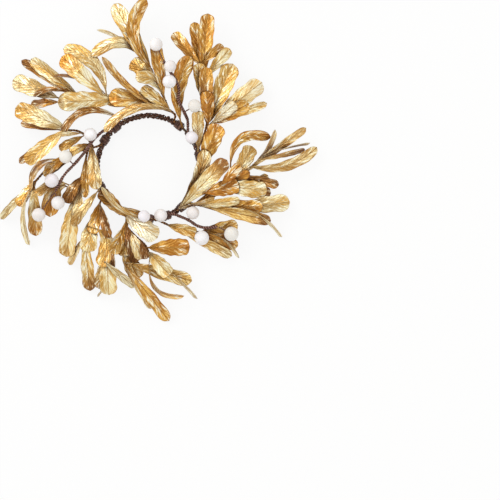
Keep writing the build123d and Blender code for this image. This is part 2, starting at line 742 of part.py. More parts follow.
# Berry sprays: the stem runs above the leaves, and each berry sits on a stalk from it
stem_radius = berry_stem_wire / 2
stalk_radius = stalk_wire / 2
for spray, (turn, route, berries) in berry_shares.items():
    points = clear_route(berry_routes[spray], stem_radius, low_stem_points)
    wire, radius = rounded_wire(points)
    print(spray, "berry stem least radius", round(radius, 1))
    solids = [tube(wire, berry_stem_wire)]
    cover(tube_points(points, stem_radius), 0)
    for number, (x, y, width) in enumerate(berries):
        spot = place((x, y))
        size = berry_radius * width * berry_px_share
        height, top_points = berry_height(spot, size)
        centre = np.array((*spot, height))
        away, seat = nearest(points[1:], spot)
        if np.linalg.norm(points[0][:2] - spot) < away:
            seat = points[0]
        toward = (centre - seat) / np.linalg.norm(centre - seat)
        start = seat + toward * (stem_radius + stalk_gap)
        middle = (start + centre - toward * size) / 2
        under = float(ground_under(middle[None, :], stalk_radius)[0])
        short = under + stalk_radius + stalk_gap - middle[2]
        raised = middle + np.array((0, 0, max(short, 0)))
        bent = short > 0 and np.linalg.norm(centre - raised) > size + stem_radius + stalk_wire
        if bent:
            middle = raised
        arriving = (centre - middle) / np.linalg.norm(centre - middle)
        tip = centre - arriving * (size - stalk_seat)
        if bent:
            stalk_path = rounded_wire([start, middle, tip])[0]
        else:
            stalk_path = Wire([Edge.make_line(vector(start), vector(tip))])
        cover(tube_points([start, middle, tip], stalk_radius), 0)
        solids.append(tube(stalk_path, stalk_wire))
        bore_plane = Plane(origin=vector(centre), z_dir=-vector(arriving))
        bore = Pos(0, 0, size - stalk_gap) * Cylinder(stalk_radius + stalk_gap, 2 * stalk_seat)
        berry = bore_plane * (Sphere(size) - bore)
        write(f"berry_{spray}_{number + 1}", [berry.solid()])
        cover(top_points, 0)
    write(f"{spray}_berry_stems", solids)
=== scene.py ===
import math

import bpy
import numpy as np
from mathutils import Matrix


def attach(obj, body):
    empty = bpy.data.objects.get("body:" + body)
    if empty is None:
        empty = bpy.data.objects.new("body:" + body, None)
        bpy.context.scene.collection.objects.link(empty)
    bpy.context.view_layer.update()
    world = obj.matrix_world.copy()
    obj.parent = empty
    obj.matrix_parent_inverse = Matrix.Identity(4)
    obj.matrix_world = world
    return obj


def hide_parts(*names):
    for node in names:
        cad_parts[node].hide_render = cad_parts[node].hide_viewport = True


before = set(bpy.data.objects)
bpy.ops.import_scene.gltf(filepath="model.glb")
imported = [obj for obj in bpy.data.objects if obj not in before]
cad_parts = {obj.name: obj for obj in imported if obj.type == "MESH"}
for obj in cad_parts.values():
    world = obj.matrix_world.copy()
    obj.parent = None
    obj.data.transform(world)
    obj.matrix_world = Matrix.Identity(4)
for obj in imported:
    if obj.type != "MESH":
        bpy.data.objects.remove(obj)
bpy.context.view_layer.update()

# The candle ring dressed for rendering. The part's named dimensions and tables are repeated here in
# millimetres, and every mesh is scaled to metres when it is made, so each piece lies where its
# solid is.
MM = 0.001
straight_up = np.array((0, 0, 1.0))

# Driving dimensions of the ring
ring_radius = 41.4
ring_wire = 2.0
wrap_wire = 1.2
wrap_gap = 0.1

# Driving dimensions of the wreath
wreath_reach = 126.0
leaf_width = 12.0
leaf_thickness = 0.5
petiole_width = 1.2
leaf_rise = 34.0
leaf_gap = 0.4

# Driving dimensions of the stems, their bindings and the berries
stem_wire = 2.0
stem_seat_gap = 0.2
stem_end_height = 11.0
binding_wire = 0.9
binding_pitch = 1.5
binding_gap = 0.35
binding_flat_depth = 0.5
berry_stem_wire = 1.7
stalk_wire = 1.0
stalk_seat = 1.5
stalk_gap = 0.25
berry_diameter = 10.8

# Steps of the height map that keeps the pieces apart
map_cell = 0.8
map_margin = 12.0

# Counts
wrap_strands = 3
wrap_loops = 24
binding_turns = 5
low_stem_points = 3
samples_per_cell = 2
leaf_samples = 31
tube_samples = 7
berry_samples = (12, 24)
ease_rounds = 3
clear_rounds = 20
ground_samples = 8
ring_samples = 72

# Shares of the photograph: its pixels, of which the ring's radius has 51.75 and the reach 157.5
centre_shares = (148.5, 167)
ring_px_share = 51.75
reach_px_share = 157.5
width_px_share = 1 / 15
berry_px_share = 1 / 13.5
wrap_span_share = 0.972
map_rim_share = 0.1
steepest_lift_share = 1.1
run_trim_share = 0.45
section_shares = (0, 0.08, 0.17, 0.27, 0.38, 0.5, 0.6, 0.7, 0.79, 0.87, 0.93, 0.97, 1)
ease_share = 0.5
bend_least_share = 0.25
bare_share = 0.75
petiole_most_share = 0.45
widest_share = 0.65
base_share = 0.8
tip_share = 0.16
cup_share = 0.16
widest_leaf_share = 1.25

# What follows from them
wrap_radius = ring_wire / 2 + wrap_gap + wrap_wire / 2
wrapped_radius = wrap_radius + wrap_wire / 2
binding_bore = (2 * wrapped_radius + stem_seat_gap + stem_wire) / 2 + binding_gap
binding_radius = binding_bore + binding_wire / 2
binding_offset = binding_bore - binding_gap - wrapped_radius
ring_height = binding_radius + binding_wire / 2 - binding_offset - binding_flat_depth
binding_length = binding_turns * binding_pitch
berry_radius = berry_diameter / 2


def place(pixel):
    """The x and y of a pixel of the photograph, measured from the ring's centre."""
    across = pixel[0] - centre_shares[0]
    up = centre_shares[1] - pixel[1]
    reach = math.hypot(across, up)
    if reach <= ring_px_share:
        radius = ring_radius * reach / ring_px_share
    else:
        outer_share = (reach - ring_px_share) / (reach_px_share - ring_px_share)
        radius = ring_radius + (wreath_reach - ring_radius) * outer_share
    return np.array((across * radius / reach, up * radius / reach))


# Sprays: the turn of their binding on the ring, and the route of each stem, by pixel.
# A branch starts on the stem named first in its row.
spray_shares = {
    "top_spray_stems": (
        54,
        (None, (176, 115), (162, 104), (135, 100), (105, 96), (80, 97), (60, 102)),
        (0, (170, 108), (163, 95), (156, 82), (151, 68)),
    ),
    "right_spray_stems": (
        13,
        (None, (203, 139), (208, 120), (206, 95), (202, 75), (203, 60)),
        (0, (207, 130), (214, 121), (223, 111)),
    ),
    "side_spray_stems": (
        -50,
        (None, (193, 198), (212, 190), (235, 180), (250, 168), (258, 161)),
        (0, (187, 202), (205, 207), (225, 206), (241, 208)),
    ),
    "low_spray_stems": (
        -90,
        (None, (168, 225), (186, 232), (205, 232)),
    ),
    "bottom_spray_stems": (
        -125,
        (None, (127, 219), (127, 232), (122, 247), (124, 262)),
        (0, (127, 227), (135, 236), (147, 246), (150, 258)),
        (0, (127, 229), (117, 238), (108, 250), (104, 264)),
    ),
    "corner_spray_stems": (
        -157,
        (None, (100, 203), (92, 217), (85, 235)),
    ),
    "left_spray_stems": (
        148,
        (None, (90, 148), (79, 151), (66, 156), (50, 165), (35, 182)),
        (0, (93, 146), (86, 135), (76, 130), (64, 131)),
        (0, (88, 148), (85, 164), (82, 183), (74, 200)),
    ),
}

# Leaves of each group, the lower ones first: base, a point that the leaf bends through if there
# is one, tip, the width seen, the roll in degrees, the tip's height, the arch and the tone of
# the foil. A second tone is that of the tip.
leaf_shares = {
    "top_tip_leaves": (
        ((75, 91), (21, 60), 9, 30, 0.15, 0.1, "orange brown"),
        ((62, 88), (12, 80), 17, 5, 0.1, 0.08, "grey"),
        ((80, 92), (31, 59), 12, -25, 0.3, 0.1, "pale"),
        ((78, 97), (55, 90), (34, 97), 6, 55, 0.3, 0.1, "brown"),
        ((108, 93), (78, 79), (54, 78), 4, 68, 0.4, 0.08, "brown"),
    ),
    "top_outer_leaves": (
        ((57, 101), (30, 105), 9, 30, 0.08, 0.06, "orange brown"),
        ((60, 122), (20, 123), 8, 35, 0.1, 0.08, "orange"),
        ((70, 123), (15, 108), 18, 0, 0.2, 0.1, "grey gold"),
        ((125, 108), (58, 103), 20, 0, 0.3, 0.1, "pale"),
        ((122, 115), (78, 116), (63, 135), 8, 40, 0.2, 0.15, "brown"),
    ),
    "top_middle_leaves": (
        ((108, 88), (92, 62), (63, 49), 15, 10, 0.25, 0.1, "pale"),
        ((105, 90), (62, 57), 17, 0, 0.45, 0.1, "pale orange"),
        ((165, 105), (108, 105), 6, 50, 0.3, 0.06, "gold"),
        ((168, 103), (109, 97), 18, 5, 0.5, 0.08, "gold amber"),
        ((176, 110), (125, 85), (103, 58), 7, 50, 0.75, 0.08, "amber"),
    ),
    "top_crown_leaves": (
        ((150, 68), (125, 43), (97, 30), 4, 65, 0.3, 0.1, "grey"),
        ((142, 69), (122, 44), (92, 57), 12, 25, 0.45, 0.12, "grey gold"),
        ((154, 78), (131, 62), 15, 10, 0.45, 0.1, "gold"),
        ((150, 66), (114, 4), 16, 0, 0.35, 0.12, "pale"),
        ((151, 68), (134, 25), (147, 0), 13, 15, 0.55, 0.12, "amber"),
    ),
    "top_crest_leaves": (
        ((174, 108), (142, 88), 12, 20, 0.45, 0.1, "gold"),
        ((172, 98), (152, 80), (136, 79), 13, 15, 0.6, 0.12, "pale"),
        ((171, 96), (156, 46), 13, 10, 0.8, 0.12, "amber"),
        ((172, 110), (132, 111), (105, 133), 9, 35, 0.62, 0.1, "tan"),
    ),
    "right_tip_leaves": (
        ((203, 72), (194, 22), 12, 10, 0.25, 0.1, "amber"),
        ((206, 78), (208, 14), 15, 5, 0.45, 0.12, "amber"),
        ((194, 68), (173, 33), 12, 15, 0.3, 0.1, "amber"),
        ((208, 64), (223, 45), 9, 25, 0.3, 0.1, "amber"),
        ((213, 78), (230, 49), 11, 15, 0.4, 0.1, "pale"),
    ),
    "right_outer_leaves": (
        ((217, 120), (262, 82), 18, 0, 0.2, 0.1, "pale cream"),
        ((208, 125), (233, 64), 19, 0, 0.35, 0.12, "gold"),
        ((222, 134), (267, 103), 8, 35, 0.2, 0.1, "pale"),
        ((216, 134), (249, 104), 14, 10, 0.4, 0.1, "amber"),
        ((216, 134), (236, 104), 11, 15, 0.5, 0.1, "cream"),
    ),
    "right_crest_leaves": (
        ((190, 118), (180, 80), (191, 57), 16, 10, 0.5, 0.1, "amber"),
        ((198, 112), (198, 64), 13, 15, 0.6, 0.1, "gold"),
        ((206, 124), (206, 68), 14, 10, 0.7, 0.1, "brown amber"),
        ((212, 130), (207, 92), 14, 10, 0.6, 0.1, "orange"),
    ),
    "right_ring_leaves": (
        ((206, 150), (198, 111), 12, 10, 0.6, 0.1, "pale"),
        ((207, 170), (219, 125), 18, 0, 0.75, 0.15, "amber orange"),
        ((178, 208), (197, 183), (205, 150), 14, 15, 0.6, 0.12, "tan"),
        ((177, 206), (214, 166), 10, 30, 0.7, 0.1, "pale"),
    ),
    "side_tip_leaves": (
        ((182, 206), (227, 160), 16, 5, 0.35, 0.12, "pale orange"),
        ((224, 164), (243, 138), (271, 138), 10, 25, 0.5, 0.14, "amber"),
        ((237, 182), (252, 146), 15, 5, 0.3, 0.1, "pale"),
        ((245, 178), (268, 148), (275, 130), 5, 60, 0.5, 0.1, "tan"),
        ((252, 170), (306, 128), 8, 35, 0.35, 0.1, "tan"),
        ((290, 147), (310, 143), 2, 75, 0.25, 0.05, "grey"),
    ),
    "side_outer_leaves": (
        ((262, 161), (305, 149), 5, 60, 0.25, 0.08, "gold brown"),
        ((252, 168), (285, 166), (317, 147), 11, 20, 0.2, 0.08, "tan"),
        ((247, 180), (268, 175), 9, 30, 0.2, 0.08, "pale"),
        ((248, 184), (271, 193), 12, 15, 0.1, 0.05, "dark"),
        ((245, 180), (279, 185), 9, 30, 0.2, 0.08, "brown"),
    ),
    "side_middle_leaves": (
        ((195, 203), (250, 172), 10, 20, 0.3, 0.1, "orange"),
        ((222, 188), (267, 191), 17, 0, 0.35, 0.1, "pale"),
        ((205, 200), (239, 185), 16, 0, 0.6, 0.12, "orange"),
        ((238, 205), (290, 202), 17, 0, 0.15, 0.08, "grey pale"),
        ((203, 207), (263, 207), 14, 10, 0.4, 0.1, "amber"),
        ((222, 190), (240, 165), 10, 20, 0.65, 0.1, "orange"),
    ),
    "side_low_leaves": (
        ((208, 212), (271, 221), 12, 20, 0.2, 0.08, "gold brown"),
        ((266, 220), (282, 237), 3, 70, 0.1, 0.05, "grey"),
        ((198, 222), (238, 225), 13, 15, 0.3, 0.1, "gold"),
        ((200, 229), (238, 246), 12, 15, 0.2, 0.1, "amber"),
        ((226, 241), (239, 258), 3, 70, 0.1, 0.05, "grey"),
    ),
    "side_ring_leaves": (
        ((178, 234), (232, 256), 10, 25, 0.15, 0.08, "gold grey"),
        ((167, 226), (197, 233), 11, 20, 0.3, 0.1, "gold"),
        ((200, 206), (240, 200), 9, 30, 0.6, 0.08, "pale"),
        ((178, 208), (215, 198), 4, 60, 0.6, 0.08, "gold"),
    ),
    "bottom_tip_leaves": (
        ((104, 287), (97, 297), 2, 75, 0.05, 0.05, "grey"),
        ((89, 240), (90, 291), 13, 20, 0.1, 0.08, "gold brown"),
        ((99, 250), (99, 289), 12, 25, 0.15, 0.08, "tan brown"),
        ((107, 252), (109, 295), 17, 0, 0.25, 0.1, "pale"),
        ((86, 243), (69, 265), 7, 40, 0.1, 0.08, "tan"),
    ),
    "bottom_left_leaves": (
        ((74, 198), (66, 257), 17, 5, 0.15, 0.1, "pale tan"),
        ((88, 215), (88, 252), 17, 0, 0.25, 0.1, "pale"),
        ((101, 203), (93, 234), 12, 20, 0.5, 0.1, "amber"),
        ((102, 232), (101, 267), 15, 10, 0.38, 0.12, "gold"),
        ((104, 205), (110, 238), 9, 30, 0.5, 0.08, "dark"),
    ),
    "bottom_middle_leaves": (
        ((117, 245), (115, 268), 4, 60, 0.2, 0.05, "dark"),
        ((119, 243), (138, 279), 16, 5, 0.2, 0.1, "gold"),
        ((120, 220), (124, 257), 12, 20, 0.4, 0.1, "gold"),
        ((117, 222), (113, 254), 12, -20, 0.5, 0.1, "amber gold"),
        ((126, 226), (137, 262), 12, 25, 0.45, 0.1, "dark"),
    ),
    "bottom_outer_leaves": (
        ((108, 262), (135, 287), 8, 35, 0.08, 0.08, "grey"),
        ((120, 262), (135, 282), (151, 309), 5, 60, 0.15, 0.08, "tan"),
        ((136, 262), (192, 281), 14, 10, 0.2, 0.1, "gold"),
        ((142, 273), (158, 290), (184, 296), 5, 60, 0.2, 0.08, "gold amber"),
        ((184, 284), (197, 299), 3, 70, 0.05, 0.05, "grey"),
        ((133, 277), (169, 321), 12, 20, 0.1, 0.08, "amber"),
    ),
    "bottom_right_leaves": (
        ((147, 252), (170, 275), 15, 5, 0.3, 0.1, "pale"),
        ((150, 247), (190, 247), 17, 0, 0.35, 0.1, "amber orange"),
        ((130, 234), (143, 259), 12, 20, 0.5, 0.1, "tan"),
        ((143, 240), (147, 259), 8, 35, 0.5, 0.08, "dark"),
    ),
    "bottom_ring_leaves": (
        ((122, 214), (158, 238), 18, 0, 0.6, 0.12, "cream"),
        ((125, 217), (100, 191), 13, 15, 0.5, 0.1, "amber brown"),
        ((117, 203), (146, 215), 6, 50, 0.6, 0.08, "amber brown"),
        ((153, 220), (123, 211), (102, 187), 5, 60, 0.65, 0.08, "pale"),
    ),
    "left_tip_leaves": (
        ((33, 190), (0, 219), 8, 35, 0.1, 0.08, "grey"),
        ((35, 176), (18, 206), 11, 20, 0.2, 0.08, "amber"),
        ((26, 203), (24, 224), (29, 245), 6, 55, 0.1, 0.08, "grey"),
        ((36, 188), (36, 213), 7, 40, 0.2, 0.05, "orange"),
        ((31, 190), (36, 236), 14, 10, 0.3, 0.1, "pale orange"),
    ),
    "left_outer_leaves": (
        ((60, 137), (19, 163), 8, 35, 0.25, 0.1, "brown"),
        ((66, 133), (26, 163), 15, 5, 0.4, 0.12, "pale gold"),
        ((76, 151), (44, 176), 9, 25, 0.4, 0.1, "gold"),
        ((58, 155), (37, 168), (33, 190), 5, 60, 0.45, 0.1, "brown gold"),
        ((70, 156), (46, 173), 10, 25, 0.45, 0.08, "amber"),
        ((56, 163), (43, 168), (35, 180), 4, 65, 0.5, 0.08, "brown gold"),
    ),
    "left_middle_leaves": (
        ((84, 188), (78, 216), 10, 25, 0.3, 0.08, "pale"),
        ((63, 186), (50, 217), 17, 0, 0.35, 0.1, "tan orange"),
        ((61, 183), (38, 196), 9, 25, 0.4, 0.08, "tan"),
        ((75, 172), (66, 203), 12, 25, 0.5, 0.1, "brown"),
        ((93, 192), (86, 208), (73, 226), 10, 30, 0.5, 0.1, "tan"),
    ),
    "left_ring_leaves": (
        ((87, 158), (86, 198), 9, 35, 0.5, 0.1, "amber"),
        ((95, 141), (98, 190), 13, 20, 0.6, 0.1, "tan"),
        ((86, 127), (62, 136), 5, 55, 0.4, 0.08, "pale"),
        ((90, 127), (60, 150), 9, 35, 0.5, 0.08, "gold"),
        ((96, 140), (71, 154), 9, 30, 0.6, 0.08, "gold"),
    ),
}

# Berry sprays: the turn of the binding, the stem's route, and the middle and width of each berry
berry_shares = {
    "top": (
        34,
        ((188, 120), (183, 110), (178, 100), (180, 91), (177, 82), (170, 72), (164, 62)),
        ((157, 46.5, 13), (171, 68, 12), (170, 83, 13.5), (195, 107, 13), (192, 138, 12.5)),
    ),
    "left": (
        130,
        ((104, 130), (95, 138), (87, 151), (76, 164), (65, 175), (56, 192)),
        ((91, 135, 13), (67, 157.5, 13), (53, 181, 14), (59, 203, 13.5), (40, 215, 13.5)),
    ),
    "bottom": (
        -70,
        ((179, 216), (189, 220), (197, 226), (205, 228), (218, 227)),
        ((145, 216.5, 12), (161, 215.5, 13), (193, 213, 13), (202, 238, 14.5), (231.5, 234, 14.5)),
    ),
}


# The height map: the highest point so far over each cell of the table.
# Its rim of further cells holds the leaf tips that go past the reach.
map_half = wreath_reach + map_margin
map_rim = math.ceil(wreath_reach * map_rim_share / map_cell)
map_size = int(2 * map_half / map_cell) + 1 + 2 * map_rim
height_map = np.full((map_size, map_size), -map_margin)


def cells(points):
    """The cells of the map that lie under points."""
    columns = np.floor((points[..., 0] + map_half) / map_cell).astype(int) + map_rim
    rows = np.floor((points[..., 1] + map_half) / map_cell).astype(int) + map_rim
    return columns, rows


def cover(points, thickness):
    """Raise the map to the top of a piece, given by the points of its middle surface."""
    np.maximum.at(height_map, cells(points), points[..., 2] + thickness / 2)


def tube_points(track, radius):
    """Points of the upper half of a tube whose middle line is given by points."""
    track = np.asarray(track, dtype=float)
    steps = []
    for start, end in zip(track, track[1:]):
        count = max(2, int(np.linalg.norm(end - start) / map_cell * samples_per_cell))
        steps.append(start + (end - start) * np.linspace(0, 1, count)[:, None])
    line = np.concatenate(steps)
    directions = np.gradient(line, axis=0)[:, :2]
    directions /= np.maximum(np.linalg.norm(directions, axis=1), map_cell / 1000)[:, None]
    beside = np.stack([-directions[:, 1], directions[:, 0]], axis=1)
    layers = []
    for turn in np.linspace(0, math.pi, tube_samples):
        layer = line.copy()
        layer[:, :2] += beside * radius * math.cos(turn)
        layer[:, 2] += radius * math.sin(turn)
        layers.append(layer)
    return np.stack(layers)


def leaf_frame(shape, start):
    """The middle line of a leaf from its seat on a stem, with its side and normal directions."""
    base, *bend, tip, width, roll, tip_height, arch = shape
    seat = start[:2]
    blade = place(base)
    end = place(tip)
    petiole = np.linalg.norm(blade - seat)
    length = petiole + np.linalg.norm(end - blade)
    petiole_share = min(bare_share * petiole / length, petiole_most_share)
    through = place(bend[0]) if bend else blade
    bend_share = np.linalg.norm(through - seat)
    bend_share = bend_share / (bend_share + np.linalg.norm(end - through))
    if not bend and bend_share < bend_least_share:
        through = seat + (end - seat) / 2
        bend_share = 0.5
    bend_share = min(max(bend_share, bend_least_share), 1 - bend_least_share)
    pull = through - (1 - bend_share) ** 2 * seat - bend_share**2 * end
    pull = pull / (2 * bend_share * (1 - bend_share))

    def at(share):
        share = np.asarray(share, dtype=float)[..., None]
        line = (1 - share) ** 2 * seat + 2 * share * (1 - share) * pull + share**2 * end
        ahead = 2 * (1 - share) * (pull - seat) + 2 * share * (end - pull)
        ahead = ahead / np.linalg.norm(ahead, axis=-1)[..., None]
        share = share[..., 0]
        height = start[2] + (leaf_rise * tip_height + leaf_gap - start[2]) * share
        height = height + arch * length * 4 * share * (1 - share)
        middle = np.concatenate([line, height[..., None]], axis=-1)
        level = np.stack([-ahead[..., 1], ahead[..., 0], 0 * share], axis=-1)
        turn = math.radians(roll)
        side = level * math.cos(turn) + straight_up * math.sin(turn)
        normal = straight_up * math.cos(turn) - level * math.sin(turn)
        blade_share = np.clip((share - petiole_share) / (1 - petiole_share), 0, 1)
        rise = np.sin(math.pi / 2 * np.minimum(blade_share / widest_share, 1)) ** base_share
        into_tip = np.clip(1 - (1 - blade_share) / tip_share, 0, 1)
        outline = rise * np.sqrt(1 - into_tip**2)
        seen = leaf_width * width * width_px_share / math.cos(turn)
        widest = min(seen, leaf_width * widest_leaf_share)
        half = petiole_width / 2 + (widest - petiole_width) / 2 * outline
        return middle, side, normal, half

    return at, length


def surface(at, shares, sides):
    """Points of a leaf's middle surface at shares of its length and of its half width."""
    middle, side, normal, half = at(shares)
    reach = half[:, None, None] * sides[None, :, None]
    cup = half[:, None, None] * (sides**2)[None, :, None] * cup_share
    return middle[:, None] + side[:, None] * reach + normal[:, None] * cup


def smooth_lift(shares, knots):
    """The lift between a leaf's sections, on a smooth curve through the lifts at them."""
    steps = np.diff(section_shares)
    slopes = np.diff(knots) / steps
    matrix = np.eye(len(knots))
    turns = np.zeros(len(knots))
    for index in range(1, len(steps)):
        before, after = steps[index - 1], steps[index]
        matrix[index, index - 1 : index + 2] = before, 2 * (before + after), after
        turns[index] = 6 * (slopes[index] - slopes[index - 1])
    bends = np.linalg.solve(matrix, turns)
    left = np.clip(np.searchsorted(section_shares, shares, side="right") - 1, 0, len(steps) - 1)
    step = steps[left]
    near = (shares - np.array(section_shares)[left]) / step
    far = 1 - near
    line = knots[left] * far + knots[left + 1] * near
    bow = (far**3 - far) * bends[left] + (near**3 - near) * bends[left + 1]
    return line + bow * step**2 / 6


def settle(at, length):
    """The lift at each section of a leaf that lays it on what is under it."""
    shares = np.linspace(0, 1, int(length / map_cell * samples_per_cell) + 2)
    sides = np.linspace(-1, 1, leaf_samples)
    points = surface(at, shares, sides)
    floor = np.maximum(height_map[cells(points)] + leaf_gap, leaf_gap)
    needed = (floor - (points[..., 2] - leaf_thickness / 2)).max(axis=1)
    apart = np.abs(shares[:, None] - shares[None, :]) * length
    eased = (needed[None, :] - steepest_lift_share * apart).max(axis=1)
    eased = np.maximum(eased, 0)
    knots = np.zeros(len(section_shares))
    for index, share in enumerate(section_shares):
        before = section_shares[max(index - 1, 0)]
        after = section_shares[min(index + 1, len(section_shares) - 1)]
        near = (shares >= (before + share) / 2) & (shares <= (share + after) / 2)
        knots[index] = eased[near].max()
    steps = np.diff(section_shares)
    for _ in range(ease_rounds):
        runs = steps[:-1] * knots[2:] + steps[1:] * knots[:-2]
        level = runs / (steps[:-1] + steps[1:])
        knots[1:-1] += ease_share * np.maximum(level - knots[1:-1], 0)
    lifted = points.copy()
    straight = np.interp(shares, section_shares, knots)
    lifted[..., 2] += np.maximum(smooth_lift(shares, knots), straight)[:, None]
    cover(lifted, leaf_thickness)
    return knots


def ring_point(turn, radius, height):
    """A point of the ring at a turn in degrees."""
    angle = math.radians(turn)
    return np.array((radius * math.cos(angle), radius * math.sin(angle), height))


def stem_route(turn, pixels, wire_diameter):
    """A stem's points: its root lies in the binding on the ring, and the rest rises outward."""
    seat = ring_height + wrapped_radius + stem_seat_gap + wire_diameter / 2
    middle = ring_point(turn, ring_radius, seat)
    ahead = ring_point(turn + 90, 1, 0)
    half = binding_length / 2 + 2 * binding_wire
    points = [middle - ahead * half, middle + ahead * half]
    for index, pixel in enumerate(pixels):
        share = (index + 1) / len(pixels)
        height = seat + (stem_end_height - seat) * share
        points.append(np.array((*place(pixel), height)))
    return points


def nearest(track, spot):
    """The point of a track of points that is nearest to a spot in plan."""
    best = None
    for start, end in zip(track, track[1:]):
        run = end - start
        share = np.dot(spot - start[:2], run[:2]) / np.dot(run[:2], run[:2])
        point = start + run * min(max(share, 0), 1)
        away = np.linalg.norm(point[:2] - spot)
        if best is None or away < best[0]:
            best = (away, point)
    return best


def ground_under(points, radius):
    """The highest thing under each point, or within a radius beside it."""
    found = []
    for turn in range(0, 360, 360 // ground_samples):
        aside = points.copy()
        aside[:, :2] += ring_point(turn, radius, 0)[:2]
        found.append(height_map[cells(aside)])
    found.append(height_map[cells(points)])
    return np.max(found, axis=0)


def clear_route(points, radius, fixed):
    """Raise a route, after its fixed points, until its tube lies above what is under it."""
    points = [np.array(point, dtype=float) for point in points]
    for _ in range(clear_rounds):
        for index in range(max(fixed - 1, 0), len(points) - 1):
            start, end = points[index], points[index + 1]
            count = max(3, int(np.linalg.norm(end - start) / map_cell * samples_per_cell))
            shares = np.linspace(0, 1, count)[:, None]
            line = start + (end - start) * shares
            short = ground_under(line, radius) + radius + stem_seat_gap - line[:, 2]
            worst = int(np.argmax(short))
            if short[worst] <= 0:
                continue
            share = shares[worst, 0]
            if index >= fixed:
                start[2] += short[worst] * (1 - share)
            end[2] += short[worst] * share
        for index in range(fixed, len(points) - 1):
            level = (points[index - 1][2] + points[index + 1][2]) / 2
            points[index][2] = max(points[index][2], level)
    return points


def berry_height(spot, radius):
    """The height at which a berry's middle lies on what is under it."""
    turns = np.linspace(0, 2 * math.pi, berry_samples[1], endpoint=False)
    reaches = np.linspace(0, radius, berry_samples[0])
    x = spot[0] + np.outer(reaches, np.cos(turns))
    y = spot[1] + np.outer(reaches, np.sin(turns))
    points = np.stack([x, y, 0 * x], axis=-1)
    round_under = np.sqrt(radius**2 - reaches**2)[:, None]
    height = float((height_map[cells(points)] + leaf_gap + round_under).max())
    points[..., 2] = height + round_under
    return height, points


def cover_binding(turn):
    """Raise the map over the coil that ties a stem's root to the ring."""
    height = ring_height + binding_offset
    middle = ring_point(turn, ring_radius, height)
    ahead = ring_point(turn + 90, 1, 0)
    ends = [middle - ahead * binding_length / 2, middle + ahead * binding_length / 2]
    cover(tube_points(ends, binding_radius + binding_wire / 2), 0)


# Tones of the foil as they look in the photograph, light side and deep side: both hold the leaf's own
# tone, and the light side is also a painted reflection of bright surroundings and the deep side painted
# shade
tones = {
    "cream": ((255, 248, 220), (232, 196, 130)),
    "pale": ((255, 240, 188), (216, 166, 80)),
    "gold": ((250, 214, 134), (190, 134, 52)),
    "amber": ((242, 192, 98), (180, 116, 36)),
    "orange": ((232, 170, 74), (164, 100, 28)),
    "brown": ((202, 144, 70), (122, 76, 28)),
    "tan": ((248, 220, 156), (188, 138, 66)),
    "grey": ((246, 228, 178), (186, 150, 88)),
    "dark": ((188, 130, 62), (108, 66, 26)),
}

# Shape of a dressed leaf
leaf_steps = 44
tip_crowding = 1.15
half_sides = np.array((0, 0.07, 0.16, 0.3, 0.46, 0.62, 0.78, 0.9, 0.97, 1))
side_shares = np.concatenate([-half_sides[:0:-1], half_sides])
rim_share = 0.8
fold_share = 0.06
ripple = 0.22
edge_wave_share = 0.05
edge_waves = (3, 2)
blade_waves = 2
side_shift = 0.2
midrib_depth = 0.12
midrib_share = 0.08
blunt_share = 0.035
blunt_least = 0.02

# How a leaf's tone changes along it, from side to side and from leaf to leaf; the change from side to
# side is painted shade, one half of the leaf painted lighter and the other darker
tip_tone_shares = (0.6, 0.3)
root_fade = 0.3
root_fade_share = 0.35
side_shade_spread = 0.3
leaf_spread = 0.16
pattern_spread = 40

# Cords: turns of the twist on a millimetre, depth of the ridges and of the lumps, and sides
cords = {
    "strand": (0.35, 0.22, 0.7, 12),
    "stem": (0.22, 0.2, 0.22, 14),
    "berry_stem": (0.25, 0.2, 0.3, 14),
    "stalk": (0.3, 0.15, 0.2, 10),
}
cord_ridges = 2
cord_end_share = 0.05
lump_length = 0.9
phase_spread = 7
upright_least = 0.1
corner_steps = 9
path_least = 4
stem_step = 0.45
berry_stem_step = 0.4
stalk_step = 0.3

# Strands round the ring, and the tape over the binding coils
strand_swell = 1.2
strand_steps = 900
strand_wander = (90, 1.2)
strand_loose = (70, 0.2)
tape_steps = 40
tape_sides = 12
tape_lump_steps = 8
tape_lump_share = 0.14
tape_wander_share = 0.5
tape_width_share = 0.56
tape_end_turns = 1.5
tape_end_least = 0.04
tape_pinch_share = 0.45
tape_sink_share = 0.1

# Shape of the berries and their stems
berry_stem_swell = 1.5
berry_sides = 48
berry_rows = 26
no_stalk_way = (0.3, 0.4, 0.86)
berry_lobes = 3
berry_lobe_share = 0.006
dimple_share = 0.045
dimple_reach = 0.22
stalk_tint_reach = 0.3
stalk_tint_share = 0.55
stalk_tint = (150, 120, 96)
skins = ((241, 238, 238), (236, 231, 230), (244, 243, 246), (234, 231, 225), (239, 235, 240))

# Seeds of the random draws, counted up from these for each piece of a kind
berry_binding_seed = 50
stem_binding_seed = 60
strand_seed = 100
stem_seed = 200
leaf_seed = 300
berry_seed = 400


def linear(colour):
    """A colour of the screen, in steps of 0 to 255, as the linear numbers of a material."""
    shares = np.array(colour) / 255
    return np.where(shares <= 0.04045, shares / 12.92, ((shares + 0.055) / 1.055) ** 2.4)


def unit(vector):
    """A vector of length 1 along another."""
    return vector / np.linalg.norm(vector)


def travelled(path):
    """The length along a path up to each of its points."""
    return np.concatenate([[0], np.cumsum(np.linalg.norm(np.diff(path, axis=0), axis=1))])


def uneven(spots, count, random):
    """A random curve from -0.5 to 0.5 at spots from 0 to 1, drawn at the ends of count runs."""
    return np.interp(spots * count, np.arange(count + 1), random.random(count + 1)) - 0.5


